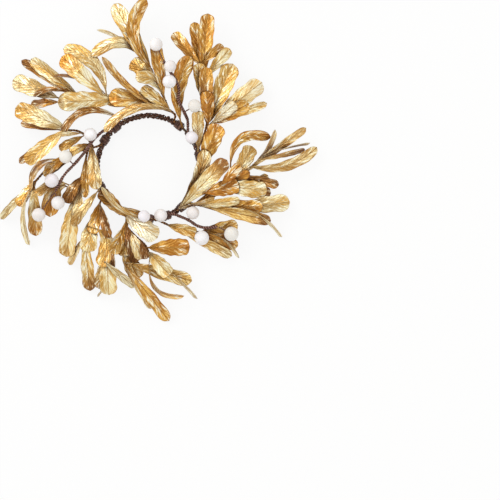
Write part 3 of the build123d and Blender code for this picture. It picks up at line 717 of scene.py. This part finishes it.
class MeshParts:
    """Collects the points, faces and named values of one piece, and makes its object."""

    def __init__(self):
        self.points = []
        self.faces = []
        self.values = {}
        self.count = 0

    def add(self, points, faces, **values):
        self.points.append(points)
        self.faces += [tuple(int(i) + self.count for i in face) for face in faces]
        self.count += len(points)
        for name, value in values.items():
            self.values.setdefault(name, []).append(value)

    def build(self, name, material, node):
        mesh = bpy.data.meshes.new(name)
        mesh.from_pydata((np.concatenate(self.points) * MM).tolist(), [], self.faces)
        mesh.shade_smooth()
        for label, value in self.values.items():
            data = np.concatenate(value)
            kind, field = "FLOAT_VECTOR", "vector"
            if data.ndim == 1:
                kind, field = "FLOAT", "value"
            elif label.startswith("tone"):
                kind, field = "FLOAT_COLOR", "color"
                data = np.concatenate([data, np.ones((len(data), 1))], axis=1)
            layer = mesh.attributes.new(label, kind, "POINT")
            layer.data.foreach_set(field, data.astype(np.float32).ravel())
        mesh.materials.append(material)
        piece = bpy.data.objects.new(name, mesh)
        bpy.context.scene.collection.objects.link(piece)
        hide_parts(node)
        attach(piece, "root")


def grid_faces(rows, columns, first=0, flip=False, closed=False):
    """The faces of a grid of points. In a closed one the last column joins the first."""
    faces = []
    for row in range(rows - 1):
        for column in range(columns if closed else columns - 1):
            a = first + row * columns + column
            b = first + row * columns + (column + 1) % columns
            face = (a, b, b + columns, a + columns)
            faces.append(face[::-1] if flip else face)
    return faces


def sheet_faces(rows, columns):
    """The faces of a thin sheet: its upper points, its lower ones, and the rim between them."""
    under = rows * columns
    faces = grid_faces(rows, columns, flip=True) + grid_faces(rows, columns, under)
    for row in range(rows - 1):
        a = row * columns
        b = a + columns - 1
        faces.append((a, a + columns, a + columns + under, a + under))
        faces.append((b + columns, b, b + under, b + columns + under))
    for column in range(columns - 1):
        last = (rows - 1) * columns + column
        faces.append((column + 1, column, column + under, column + 1 + under))
        faces.append((last, last + 1, last + 1 + under, last + under))
    return faces


def tube_faces(rows, sides):
    """The faces of a tube of points with a flat face at each end."""
    ends = [tuple(range(sides))[::-1], tuple(range((rows - 1) * sides, rows * sides))]
    return grid_faces(rows, sides, closed=True) + ends


leaf_faces = sheet_faces(leaf_steps, len(side_shares))


def dress_leaf(parts, at, length, lifts, tone, random):
    """A thin foil leaf with a folded midrib, a thin rim and a slightly waved edge."""
    shares = 1 - (1 - np.linspace(0, 1, leaf_steps)) ** tip_crowding
    middle, side, normal, half = at(shares)
    middle[:, 2] += smooth_lift(shares, lifts)
    half = half * np.sqrt(np.clip((1 - shares) / blunt_share, blunt_least, 1))
    blade = np.clip(half / leaf_width * 2, 0, 1)
    phase, waves, seed, glint = random.random(4)
    edge_wave = shares * (edge_waves[0] + edge_waves[1] * waves) + phase
    half = half * (1 + edge_wave_share * np.sin(2 * math.pi * edge_wave))
    squares = side_shares**2
    reach = half[:, None] * side_shares
    bowl = half[:, None] * squares * cup_share
    bowl += half[:, None] * fold_share * (np.abs(side_shares) - squares)
    wave = shares[:, None] * (blade_waves + waves) + phase + side_shift * np.sign(side_shares)
    bowl += ripple * blade[:, None] * np.sin(2 * math.pi * wave) * squares
    bowl -= midrib_depth * blade[:, None] * np.exp(-((side_shares / midrib_share) ** 2))
    sheet = middle[:, None] + side[:, None] * reach[..., None] + normal[:, None] * bowl[..., None]
    thick = leaf_thickness / 2 * (1 - rim_share * np.abs(side_shares) ** 3)
    shift = normal[:, None] * thick[:, None]

    tip_start, tip_run = tip_tone_shares
    toward_tip = np.clip((shares - tip_start) / tip_run, 0, 1)[:, None, None]
    shade = 1 + leaf_spread * (random.random() - 0.5)
    # Painted shade: one half of the leaf, on one side of the midrib, is painted lighter and the other
    # darker
    fold_shade = 1 + side_shade_spread * (glint - 0.5) * np.sign(side_shares)[:, None]
    root = (1 - root_fade + root_fade * np.clip(shares / root_fade_share, 0, 1))[:, None, None]
    names = tone.split()
    # The light and deep colours hold the leaf's own tone, and also painted reflection and painted shade
    colours = []
    for own, tip in zip(tones[names[0]], tones[names[-1]]):
        colour = linear(own) * (1 - toward_tip) + linear(tip) * toward_tip
        colours.append((colour * shade * fold_shade * root).reshape(-1, 3))
    along = np.broadcast_to((shares * length)[:, None], reach.shape)
    spots = np.stack([reach, along, np.full_like(reach, seed * pattern_spread)], axis=-1).reshape(-1, 3)
    across = np.broadcast_to(side_shares, reach.shape).ravel()
    parts.add(
        np.concatenate([sheet + shift, sheet - shift]).reshape(-1, 3),
        leaf_faces,
        tone_light=np.tile(colours[0], (2, 1)),
        tone_deep=np.tile(colours[1], (2, 1)),
        leaf_mm=np.tile(spots, (2, 1)),
        leaf_across=np.tile(across, 2),
    )


def soft_path(points, step):
    """Points at even steps on a route whose corners are eased as the solid's are."""
    corners = [np.array(point, dtype=float) for point in points]
    curve = [corners[0]]
    for before, corner, after in zip(corners, corners[1:], corners[2:]):
        runs = (np.linalg.norm(corner - before), np.linalg.norm(after - corner))
        trim = run_trim_share * min(runs)
        start = corner + (before - corner) / runs[0] * trim
        end = corner + (after - corner) / runs[1] * trim
        for t in np.linspace(0, 1, corner_steps):
            curve.append((1 - t) ** 2 * start + 2 * t * (1 - t) * corner + t**2 * end)
    curve.append(corners[-1])
    curve = np.array(curve)
    gaps = np.linalg.norm(np.diff(curve, axis=0), axis=1)
    curve = curve[np.concatenate([[True], gaps > step / 100])]
    reach = travelled(curve)
    evenly = np.linspace(0, reach[-1], max(int(reach[-1] / step), path_least))
    return np.stack([np.interp(evenly, reach, curve[:, axis]) for axis in range(3)], axis=1)


def tube_frames(path):
    """Two directions square to a path at each of its points, which turn as little as they can."""
    ahead = np.gradient(path, axis=0)
    ahead /= np.linalg.norm(ahead, axis=1)[:, None]
    first = np.cross(ahead[0], straight_up)
    if np.linalg.norm(first) < upright_least:
        first = np.cross(ahead[0], (1.0, 0, 0))
    firsts = []
    for direction in ahead:
        first = unit(first - direction * np.dot(first, direction))
        firsts.append(first)
    firsts = np.array(firsts)
    return firsts, np.cross(ahead, firsts)


def dress_tube(parts, path, radius, kind, random):
    """A twisted paper cord along a path: spiral ridges, uneven lumps and closed ends."""
    turns_per_mm, ridge_share, lump_share, sides = cords[kind]
    first, second = tube_frames(path)
    steps = travelled(path)
    angles = np.linspace(0, 2 * math.pi, sides, endpoint=False)
    twist = 2 * math.pi * turns_per_mm * steps[:, None]
    phase = random.random() * phase_spread
    ridges = 0.5 + 0.5 * np.cos(cord_ridges * (angles - twist) + phase)
    spots = np.arange(0, steps[-1] + 2, lump_length)
    lumps = np.interp(steps, spots, random.random(len(spots)))[:, None] - 0.5
    dents = random.random((len(path), sides)) - 0.5
    dents = (dents + np.roll(dents, 1, 1) + np.roll(dents, 1, 0) + np.roll(dents, 2, 0)) / 4
    size = radius * (1 - ridge_share * ridges + lump_share * lumps + lump_share * dents)
    from_end = np.minimum(steps, steps[-1] - steps)
    size = size * np.minimum(1, np.sqrt(from_end / radius + cord_end_share))[:, None]
    ring = np.cos(angles)[:, None] * first[:, None] + np.sin(angles)[:, None] * second[:, None]
    points = path[:, None] + ring * size[..., None]
    parts.add(points.reshape(-1, 3), tube_faces(len(path), sides), cord_ridge=ridges.ravel())


# The range that most of a noise lies in, and the samples of the shade under other leaves
usual_noise = (0.3, 0.7)
cover_samples = 6


class Number:
    """A number worked out in a material, for sums with others of its kind and with plain numbers."""

    def __init__(self, nodes, socket):
        self.nodes = nodes
        self.socket = socket

    def __add__(self, other):
        return self.nodes.math("ADD", self, other)

    def __sub__(self, other):
        return self.nodes.math("SUBTRACT", self, other)

    def __rsub__(self, other):
        return self.nodes.math("SUBTRACT", other, self)

    def __mul__(self, other):
        return self.nodes.math("MULTIPLY", self, other)

    def __pow__(self, other):
        return self.nodes.math("POWER", self, other)

    def __abs__(self):
        return self.nodes.math("ABSOLUTE", self)


class Nodes:
    """A material's node tree, with short calls for the nodes that these materials use."""

    def __init__(self, name):
        self.material = bpy.data.materials.new(name)
        self.material.use_nodes = True
        self.tree = self.material.node_tree
        self.tree.nodes.clear()
        self.output = self.new("OutputMaterial")
        self.shader = self.new("BsdfPrincipled")
        self.put(self.output.inputs["Surface"], self.shader.outputs["BSDF"])

    def put(self, socket, value):
        if isinstance(value, Number):
            value = value.socket
        if isinstance(value, bpy.types.NodeSocket):
            self.tree.links.new(value, socket)
        else:
            socket.default_value = value

    def new(self, kind, **inputs):
        node = self.tree.nodes.new(f"ShaderNode{kind}")
        for name, value in inputs.items():
            self.put(node.inputs[name], value)
        return node

    def look(self, name, value):
        self.put(self.shader.inputs[name], value)

    def attribute(self, name, output):
        node = self.new("Attribute")
        node.attribute_name = name
        return node.outputs[output]

    def parts(self, vector):
        node = self.new("SeparateXYZ", Vector=vector)
        return [Number(self, socket) for socket in node.outputs]

    def vector(self, x, y, z):
        return self.new("CombineXYZ", X=x, Y=y, Z=z).outputs[0]

    def math(self, operation, *values):
        node = self.new("Math")
        node.operation = operation
        for socket, value in zip(node.inputs, values):
            self.put(socket, value)
        return Number(self, node.outputs[0])

    def most(self, first, second):
        return self.math("MAXIMUM", first, second)

    def ease(self, value, low, high, start=0.0, end=1.0):
        """A smooth step from start to end while a value goes from low to high."""
        node = self.new("MapRange")
        node.interpolation_type = "SMOOTHSTEP"
        for index, number in enumerate((value, low, high, start, end)):
            self.put(node.inputs[index], number)
        return Number(self, node.outputs[0])

    def noise(self, vector, scale, detail, roughness=0.55):
        node = self.new("TexNoise", Vector=vector, Scale=scale, Detail=detail, Roughness=roughness)
        return Number(self, node.outputs["Fac"])

    def mix(self, share, first, second):
        """A mix of two colours, each a node's output or a colour of the screen."""
        node = self.new("Mix")
        node.data_type = "RGBA"
        self.put(node.inputs["Factor"], share)
        for socket, value in ((node.inputs[6], first), (node.inputs[7], second)):
            self.put(socket, (*linear(value), 1) if isinstance(value, tuple) else value)
        return node.outputs[2]

    def polish(self, noise, smooth, rough):
        """A roughness that follows a noise over its usual range."""
        self.look("Roughness", self.ease(noise, *usual_noise, smooth, rough))

    def bump(self, height, strength, distance):
        node = self.new("Bump", Height=height, Strength=strength, Distance=distance)
        self.look("Normal", node.outputs["Normal"])

    def covered(self, reach):
        node = self.new("AmbientOcclusion", Distance=reach)
        node.samples = cover_samples
        return Number(self, node.outputs["AO"])

    def place(self):
        return self.new("TexCoord").outputs["Object"]


# Colours of the materials on the screen
# Of the foil's colours, the glint is a painted highlight, and the shadow and the colour under other
# leaves are painted shade
foil_glint = (255, 250, 222)
foil_shadow = (96, 52, 16)
foil_hidden = (112, 62, 16)
# Each paper's first colour is its colour in painted shade in the grooves, the second its colour painted
# lit on the ridges
ring_paper_colours = ((56, 33, 26), (144, 102, 84))
stem_paper_colours = ((70, 42, 24), (164, 114, 64))
berry_paper_colours = ((66, 40, 34), (158, 118, 104))
berry_patch = (205, 196, 188)
berry_grain = (255, 253, 250)
tape_colours = ((74, 46, 36), (150, 110, 92))
tape_edge = (38, 22, 18)
steel_colours = ((112, 96, 84), (70, 56, 48))

# Side veins of the foil: their slope, wobble, number and sharpness, and that of the grooves between
vein_slope_across = 0.9
vein_slope_along = 0.4
vein_wobble = 2.4
veins_per_mm = 3.0
vein_sharpness = 9.0
groove_sharpness = 14.0

# Patterns of the foil: density across and along the leaf, scale, detail and roughness
foil_patterns = {
    "wobble": (1.0, 0.5, 0.3, 2, 0.55),
    "streak": (2.6, 0.085, 1.0, 3, 0.6),
    "feather": (0.6, 0.08, 1.0, 2, 0.55),
    "patch": (0.16, 0.07, 1.0, 1, 0.55),
    "crumple": (1.0, 0.4, 0.45, 2, 0.5),
}


def foil():
    """Gold foil pressed with a midrib and side veins, streaked pale and deep along the leaf, with
    painted reflection, painted highlights and painted shade in its colour.
    """
    nodes = Nodes("gold_foil")
    x, y, seed = nodes.parts(nodes.attribute("leaf_mm", "Vector"))
    across = Number(nodes, nodes.attribute("leaf_across", "Fac"))
    light = nodes.attribute("tone_light", "Color")
    deep = nodes.attribute("tone_deep", "Color")
    side = abs(x)

    def pattern(name, sideways):
        density_across, density_along, scale, detail, roughness = foil_patterns[name]
        spot = nodes.vector(sideways * density_across, y * density_along, seed)
        return nodes.noise(spot, scale, detail, roughness)

    # Side veins, and noise drawn out along the leaf and along its veins
    bent = side * vein_slope_across - y * vein_slope_along + pattern("wobble", x) * vein_wobble
    wave = nodes.math("SINE", bent * veins_per_mm) * 0.5
    vein = (wave + 0.5) ** vein_sharpness
    streak = pattern("streak", across)
    feather = pattern("feather", bent)
    patch = pattern("patch", x)
    crumple = pattern("crumple", x)

    # Light and deep tone, which change places on the veins, and bright glints; the tones carry painted
    # reflection and painted shade as well as the foil's own tone, and the glints are painted highlights
    amount = nodes.ease(streak * 1.5 + patch * 1.5 + feather, 1.75, 2.25)
    line = nodes.most(vein * 0.6, nodes.ease(side, 0.2, 0.65, start=0.85, end=0.0))
    amount = amount + line * (1.0 - amount * 2.0)
    # Painted highlights on the brightest streaks
    bright = nodes.ease(streak + feather, 1.02, 1.24)
    colour = nodes.mix(bright * amount, nodes.mix(amount, deep, light), foil_glint)

    # Shadows: in the crumples, at the rim, along the midrib and veins, and under other leaves
    shadow = nodes.mix(0.5, deep, foil_shadow)
    shade = nodes.ease(streak + crumple, 0.64, 0.86, start=0.72, end=0.0)
    rim = nodes.ease(abs(across), 0.9, 1.0, end=0.5)
    colour = nodes.mix(nodes.most(shade, rim), colour, shadow)
    crease = nodes.ease(side, 0.18, 0.5, start=1.0, end=0.0)
    crease = crease * nodes.ease(feather, 0.4, 0.55, start=0.95, end=0.5)
    groove = (0.5 - wave) ** groove_sharpness * nodes.ease(streak, 0.4, 0.6, start=0.5, end=0.12)
    colour = nodes.mix(nodes.most(crease, groove), colour, shadow)
    hidden = nodes.ease(nodes.covered(reach=0.009), 0.35, 0.85, start=0.85, end=0.0)

    nodes.look("Base Color", nodes.mix(hidden, colour, foil_hidden))
    nodes.look("Metallic", 0.65)
    nodes.polish(crumple, smooth=0.26, rough=0.4)
    relief = streak * 0.55 + vein * 0.25 + feather * 0.5 + crumple * 0.5
    nodes.bump(relief, strength=0.8, distance=0.0012)
    return nodes.material


def paper(name, groove, crest):
    """Brown twisted crepe paper with fine fibres, painted darker in the twist's grooves as painted
    shade and lighter on its ridges as painted highlight.
    """
    nodes = Nodes(name)
    ridge = Number(nodes, nodes.attribute("cord_ridge", "Fac"))
    mottle = nodes.noise(nodes.place(), scale=420, detail=4, roughness=0.6)
    fibre = nodes.noise(nodes.place(), scale=2200, detail=3, roughness=0.6)
    # Painted shade in the grooves and painted highlight on the ridges, over the paper's own mottled
    # tone
    amount = nodes.ease((1.0 - ridge) * 0.55 + mottle * 0.6, 0.35, 0.95)
    nodes.look("Base Color", nodes.mix(amount, groove, crest))
    nodes.polish(mottle, smooth=0.55, rough=0.85)
    nodes.look("Specular IOR Level", 0.2)
    nodes.bump(fibre * 0.5 + mottle, strength=0.7, distance=0.0006)
    return nodes.material


def berry_skin():
    """Matte white berry with a fine sugared grain and faint grey and blush patches."""
    nodes = Nodes("white_berry")
    tint = nodes.attribute("tone_skin", "Color")
    grain = nodes.noise(nodes.place(), scale=1500, detail=3, roughness=0.6)
    patch = nodes.noise(nodes.place(), scale=130, detail=2)
    colour = nodes.mix(nodes.ease(patch, 0.35, 0.75, end=0.35), tint, berry_patch)
    colour = nodes.mix(nodes.ease(grain, 0.55, 0.8, end=0.25), colour, berry_grain)
    nodes.look("Base Color", colour)
    nodes.polish(grain, smooth=0.42, rough=0.62)
    nodes.look("Subsurface Weight", 0.15)
    nodes.look("Subsurface Radius", (1.0, 0.9, 0.8))
    nodes.look("Subsurface Scale", 0.0015)
    nodes.look("Specular IOR Level", 0.4)
    nodes.bump(grain, strength=0.35, distance=0.0003)
    return nodes.material


def brown_tape():
    """Brown lacquered binding tape, worn lighter in places and dark at its edges."""
    nodes = Nodes("binding_wire")
    edge = Number(nodes, nodes.attribute("cord_ridge", "Fac"))
    wear = nodes.noise(nodes.place(), scale=380, detail=3, roughness=0.6)
    grain = nodes.noise(nodes.place(), scale=1900, detail=2)
    colour = nodes.mix(nodes.ease(wear, 0.45, 0.75), *tape_colours)
    colour = nodes.mix(nodes.ease(edge, 0.25, 0.95, end=0.8), colour, tape_edge)
    nodes.look("Base Color", colour)
    nodes.look("Metallic", 0.25)
    nodes.polish(wear, smooth=0.4, rough=0.62)
    nodes.bump(wear + grain * 0.4, strength=0.5, distance=0.0004)
    return nodes.material


def steel():
    """Drawn steel wire, browned, with fine scratches and dull spots."""
    nodes = Nodes("steel_wire")
    dull = nodes.noise(nodes.place(), scale=260, detail=3, roughness=0.6)
    scratch = nodes.noise(nodes.place(), scale=2600, detail=2)
    nodes.look("Base Color", nodes.mix(nodes.ease(dull, 0.4, 0.7), *steel_colours))
    nodes.look("Metallic", 1.0)
    nodes.polish(dull, smooth=0.3, rough=0.5)
    nodes.bump(scratch, strength=0.3, distance=0.0002)
    return nodes.material


gold_foil = foil()
ring_paper = paper("brown_paper", *ring_paper_colours)
stem_paper = paper("stem_paper", *stem_paper_colours)
berry_paper = paper("berry_stem_paper", *berry_paper_colours)
white_skin = berry_skin()
binding_tape = brown_tape()


def dress_bindings(node, turns, seed):
    """Paper tape wound over each binding coil, a little wider than its pitch, flat on the table."""
    random = np.random.default_rng(seed)
    parts = MeshParts()
    angles = np.linspace(0, 2 * math.pi * binding_turns, binding_turns * tape_steps)[:, None]
    count = len(angles)
    from_end = np.minimum(angles, angles[-1] - angles) / math.pi
    full = np.sqrt(np.clip(from_end / tape_end_turns, tape_end_least, 1))
    width = 1 - tape_pinch_share + tape_pinch_share * full
    height = 1 - tape_sink_share + tape_sink_share * full
    around = np.linspace(0, 2 * math.pi, tape_sides, endpoint=False)[:, None]
    edge = np.broadcast_to(np.abs(np.sin(around[:, 0])) ** 3, (count, tape_sides))
    for turn in turns:
        middle = ring_point(turn, ring_radius, ring_height + binding_offset)
        out = ring_point(turn, 1, 0)
        ahead = ring_point(turn + 90, 1, 0)
        spots = np.arange(0, count + tape_lump_steps, tape_lump_steps)
        lumps = np.interp(np.arange(count), spots, random.random(len(spots)))[:, None] - 0.5
        radial = out * np.cos(angles) + straight_up * np.sin(angles)
        snug = out * np.cos(angles) * (wrapped_radius + binding_wire * width)
        tall = straight_up * binding_radius * np.sin(angles) * height
        shift = binding_length * (np.linspace(0, 1, count)[:, None] - 0.5)
        shift = shift + lumps * binding_pitch * tape_wander_share
        path = middle + (snug + tall) * (1 + tape_lump_share * lumps) + ahead * shift
        thick = np.cos(around) * (radial * full)[:, None] * binding_wire / 2
        broad = np.sin(around) * (ahead * full)[:, None] * binding_pitch * tape_width_share
        points = path[:, None] + thick + broad
        points[..., 2] = np.maximum(points[..., 2], 0)
        parts.add(points.reshape(-1, 3), tube_faces(count, tape_sides), cord_ridge=edge.ravel())
    parts.build(f"wound_{node}", binding_tape, node)


def dress_strand(strand, random):
    """A paper strand wound round the ring's wire, fuller and more crumpled than its solid."""
    spots = np.linspace(0, 1, strand_steps)
    along = 2 * math.pi * wrap_span_share * spots + math.radians(spray_shares["top_spray_stems"][0])
    wander = uneven(spots, strand_wander[0], random) * strand_wander[1]
    round_wire = 2 * math.pi * (wrap_loops * spots + strand / wrap_strands) + wander
    loose = wrap_radius * (1 + strand_loose[1] * uneven(spots, strand_loose[0], random))
    out = ring_radius + loose * np.cos(round_wire)
    height = ring_height + loose * np.sin(round_wire)
    path = np.stack([out * np.cos(along), out * np.sin(along), height], axis=1)
    parts = MeshParts()
    dress_tube(parts, path, wrap_wire / 2 * strand_swell, "strand", random)
    parts.build(f"paper_strand_{strand + 1}", ring_paper, f"ring_wrap_{strand + 1}")


def dress_spray(name, turn, routes, random):
    """The stems of a leaf spray, of which the branches start on an earlier stem."""
    cover_binding(turn)
    tracks = []
    parts = MeshParts()
    for parent, first, *rest in routes:
        if parent is None:
            points = stem_route(turn, [first, *rest], stem_wire)
        else:
            lift = stem_wire + stem_seat_gap
            points = [nearest(tracks[parent], place(first))[1] + straight_up * lift]
            points += [np.array((*place(pixel), stem_end_height + lift)) for pixel in rest]
        tracks.append(points)
        cover(tube_points(points, stem_wire / 2), 0)
        carriers.append((points, stem_wire / 2))
        dress_tube(parts, soft_path(points, stem_step), stem_wire / 2, "stem", random)
    parts.build(f"dressed_{name}", stem_paper, name)


def dress_leaves(name, rows, random):
    """A group of leaves, each seated on the nearest stem or ring and laid on what is under it."""
    parts = MeshParts()
    for *shape, tone in rows:
        found = [(*nearest(track, place(shape[0])), radius) for track, radius in carriers]
        seat, radius = min(found, key=lambda item: item[0])[1:]
        lift = radius + leaf_gap + leaf_thickness / 2
        at, length = leaf_frame(shape, seat + straight_up * lift)
        dress_leaf(parts, at, length, settle(at, length), tone, random)
    parts.build(f"foil_{name}", gold_foil, name)


def dress_berry(name, centre, size, arriving, skin, phase):
    """A berry with faint lobes, and a dimple where its stalk enters, coloured darker round the stalk.
    """
    turns = np.linspace(0, 2 * math.pi, berry_sides, endpoint=False)
    tilts = np.linspace(0, math.pi, berry_rows)
    level = unit(np.cross(arriving, no_stalk_way))
    other = np.cross(arriving, level)
    lobes = berry_lobe_share * np.sin(berry_lobes * turns + phase) * np.sin(tilts)[:, None] ** 2
    dimple = dimple_share * size * np.exp(-((tilts / dimple_reach) ** 2))
    reach = np.minimum(size * (1 + lobes), size) - dimple[:, None]
    ring = np.cos(turns)[:, None] * level + np.sin(turns)[:, None] * other
    out = np.sin(tilts)[:, None, None] * ring - np.cos(tilts)[:, None, None] * arriving
    points = (centre + reach[..., None] * out).reshape(-1, 3)
    # Darker brown-grey colour round the stalk's dimple
    near = np.exp(-((np.repeat(tilts, berry_sides) / stalk_tint_reach) ** 2))[:, None]
    near = near * stalk_tint_share
    ball = MeshParts()
    faces = grid_faces(berry_rows, berry_sides, flip=True, closed=True)
    ball.add(points, faces, tone_skin=linear(skin) * (1 - near) + linear(stalk_tint) * near)
    ball.build(f"white_{name}", white_skin, name)


def dress_berry_spray(number, spray, berries, random):
    """A berry spray: its stem above the leaves, a stalk to each berry, and the berries."""
    stem_radius = berry_stem_wire / 2
    stalk_radius = stalk_wire / 2
    points = clear_route(berry_routes[spray], stem_radius, low_stem_points)
    stems = MeshParts()
    raised_path = soft_path(points, berry_stem_step)
    raised_path += straight_up * (stem_radius * (berry_stem_swell - 1))
    dress_tube(stems, raised_path, stem_radius * berry_stem_swell, "berry_stem", random)
    cover(tube_points(points, stem_radius), 0)
    for index, (x, y, width) in enumerate(berries):
        spot = place((x, y))
        size = berry_radius * width * berry_px_share
        height, top_points = berry_height(spot, size)
        centre = np.array((*spot, height))
        away, seat = nearest(points[1:], spot)
        if np.linalg.norm(points[0][:2] - spot) < away:
            seat = points[0]
        toward = unit(centre - seat)
        start = seat + toward * (stem_radius + stalk_gap)
        middle = (start + centre - toward * size) / 2
        under = float(ground_under(middle[None, :], stalk_radius)[0])
        short = under + stalk_radius + stalk_gap - middle[2]
        raised = middle + straight_up * max(short, 0)
        bent = short > 0 and np.linalg.norm(centre - raised) > size + stem_radius + stalk_wire
        if bent:
            middle = raised
        arriving = unit(centre - middle)
        tip = centre - arriving * (size - stalk_seat)
        cover(tube_points([start, middle, tip], stalk_radius), 0)
        cover(top_points, 0)
        rooted = start - toward * stalk_gap * 2
        stalk = soft_path([rooted, middle, tip] if bent else [rooted, tip], stalk_step)
        dress_tube(stems, stalk, stalk_radius, "stalk", random)
        skin = skins[(index + 2 * number) % len(skins)]
        dress_berry(f"berry_{spray}_{index + 1}", centre, size, arriving, skin, number)
    stems.build(f"dressed_{spray}_berry_stems", berry_paper, f"{spray}_berry_stems")


# The ring and the coils, which the height map holds first
ring_turns = [index * 360 / ring_samples for index in range(ring_samples + 1)]
ring_track = [ring_point(turn, ring_radius, ring_height) for turn in ring_turns]
cover(tube_points(ring_track, wrapped_radius), 0)
carriers = [(ring_track, wrapped_radius)]
berry_turns = [turn for turn, route, berries in berry_shares.values()]
for berry_turn in berry_turns:
    cover_binding(berry_turn)

# The ring wire keeps its solid's form and gets its own material
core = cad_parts["ring_core"]
core.data.materials.clear()
core.data.materials.append(steel())

dress_bindings("berry_bindings", berry_turns, berry_binding_seed)
dress_bindings("stem_bindings", [turn for turn, *routes in spray_shares.values()], stem_binding_seed)
for strand in range(wrap_strands):
    dress_strand(strand, np.random.default_rng(strand_seed + strand))
for number, (name, (turn, *routes)) in enumerate(spray_shares.items()):
    dress_spray(name, turn, routes, np.random.default_rng(stem_seed + number))

# The lower ends of the berry sprays' stems, which the leaves lie over
berry_routes = {}
for spray, (turn, route, berries) in berry_shares.items():
    berry_routes[spray] = stem_route(turn, route, berry_stem_wire)
    cover(tube_points(berry_routes[spray][:low_stem_points], berry_stem_wire / 2), 0)

for number, (name, rows) in enumerate(leaf_shares.items()):
    dress_leaves(name, rows, np.random.default_rng(leaf_seed + number))
for number, (spray, (turn, route, berries)) in enumerate(berry_shares.items()):
    dress_berry_spray(number, spray, berries, np.random.default_rng(berry_seed + number))


# The stage, whose lengths are in metres
floor_half = 3
floor_drop = 0.0002
floor_colour = (0.85, 0.85, 0.84, 1)
floor_seen_share = 0.88
sky_colour = (1, 0.99, 0.97, 1)
sky_strength = 0.85
camera_height = 2.4
camera_lift = 0.01
picture_width = 0.4
picture_pixels = 500
sensor_width = 36


def lay_floor():
    """A pale floor that the camera and reflections see as nearly white, and that keeps the shadow."""
    mesh = bpy.data.meshes.new("floor")
    turns = ((-1, -1), (1, -1), (1, 1), (-1, 1))
    mesh.from_pydata([(x * floor_half, y * floor_half, 0) for x, y in turns], [], [(0, 1, 2, 3)])
    floor = bpy.data.objects.new("floor", mesh)
    floor.location = (0, 0, -floor_drop)
    bpy.context.scene.collection.objects.link(floor)
    nodes = Nodes("pale_floor")
    nodes.look("Base Color", floor_colour)
    nodes.look("Roughness", 0.9)
    nodes.look("Specular IOR Level", 0.0)
    rays = nodes.new("LightPath").outputs
    seen = nodes.most(rays["Is Camera Ray"], rays["Is Glossy Ray"])
    seen = nodes.most(seen, rays["Is Transmission Ray"])
    blend = nodes.new("MixShader")
    surfaces = (nodes.shader.outputs["BSDF"], nodes.new("Emission").outputs["Emission"])
    for socket, value in zip(blend.inputs, (seen * floor_seen_share, *surfaces)):
        nodes.put(socket, value)
    nodes.put(nodes.output.inputs["Surface"], blend.outputs["Shader"])
    mesh.materials.append(nodes.material)


def lamp(name, place_m, size, power):
    """A square soft lamp that points at the middle of the ring."""
    light = bpy.data.lights.new(name, "AREA")
    light.size = size
    light.energy = power
    holder = bpy.data.objects.new(name, light)
    holder.location = place_m
    x, y, z = place_m
    tilt = math.acos(z / np.linalg.norm(place_m))
    holder.rotation_euler = (tilt, 0, math.atan2(y, x) + math.pi / 2)
    bpy.context.scene.collection.objects.link(holder)


lay_floor()
lamp("key", (-0.9, 0.7, 1.1), size=0.9, power=9)
lamp("fill", (1.2, -0.6, 1.0), size=1.2, power=3)
world = bpy.data.worlds.new("studio")
bpy.context.scene.world = world
world.use_nodes = True
backdrop = world.node_tree.nodes["Background"]
backdrop.inputs["Color"].default_value = sky_colour
backdrop.inputs["Strength"].default_value = sky_strength

# The camera looks straight down on the photograph's middle, from far enough to keep its scale
metres_per_pixel = ring_radius / ring_px_share * MM
camera_data = bpy.data.cameras.new("camera")
camera_data.sensor_width = sensor_width
camera_data.lens = sensor_width * camera_height / picture_width
camera = bpy.data.objects.new("camera", camera_data)
camera.location = (
    (picture_pixels / 2 - centre_shares[0]) * metres_per_pixel,
    (centre_shares[1] - picture_pixels / 2) * metres_per_pixel,
    camera_height + camera_lift,
)
bpy.context.scene.collection.objects.link(camera)
bpy.context.scene.camera = camera
bpy.context.scene.view_settings.view_transform = "Standard"
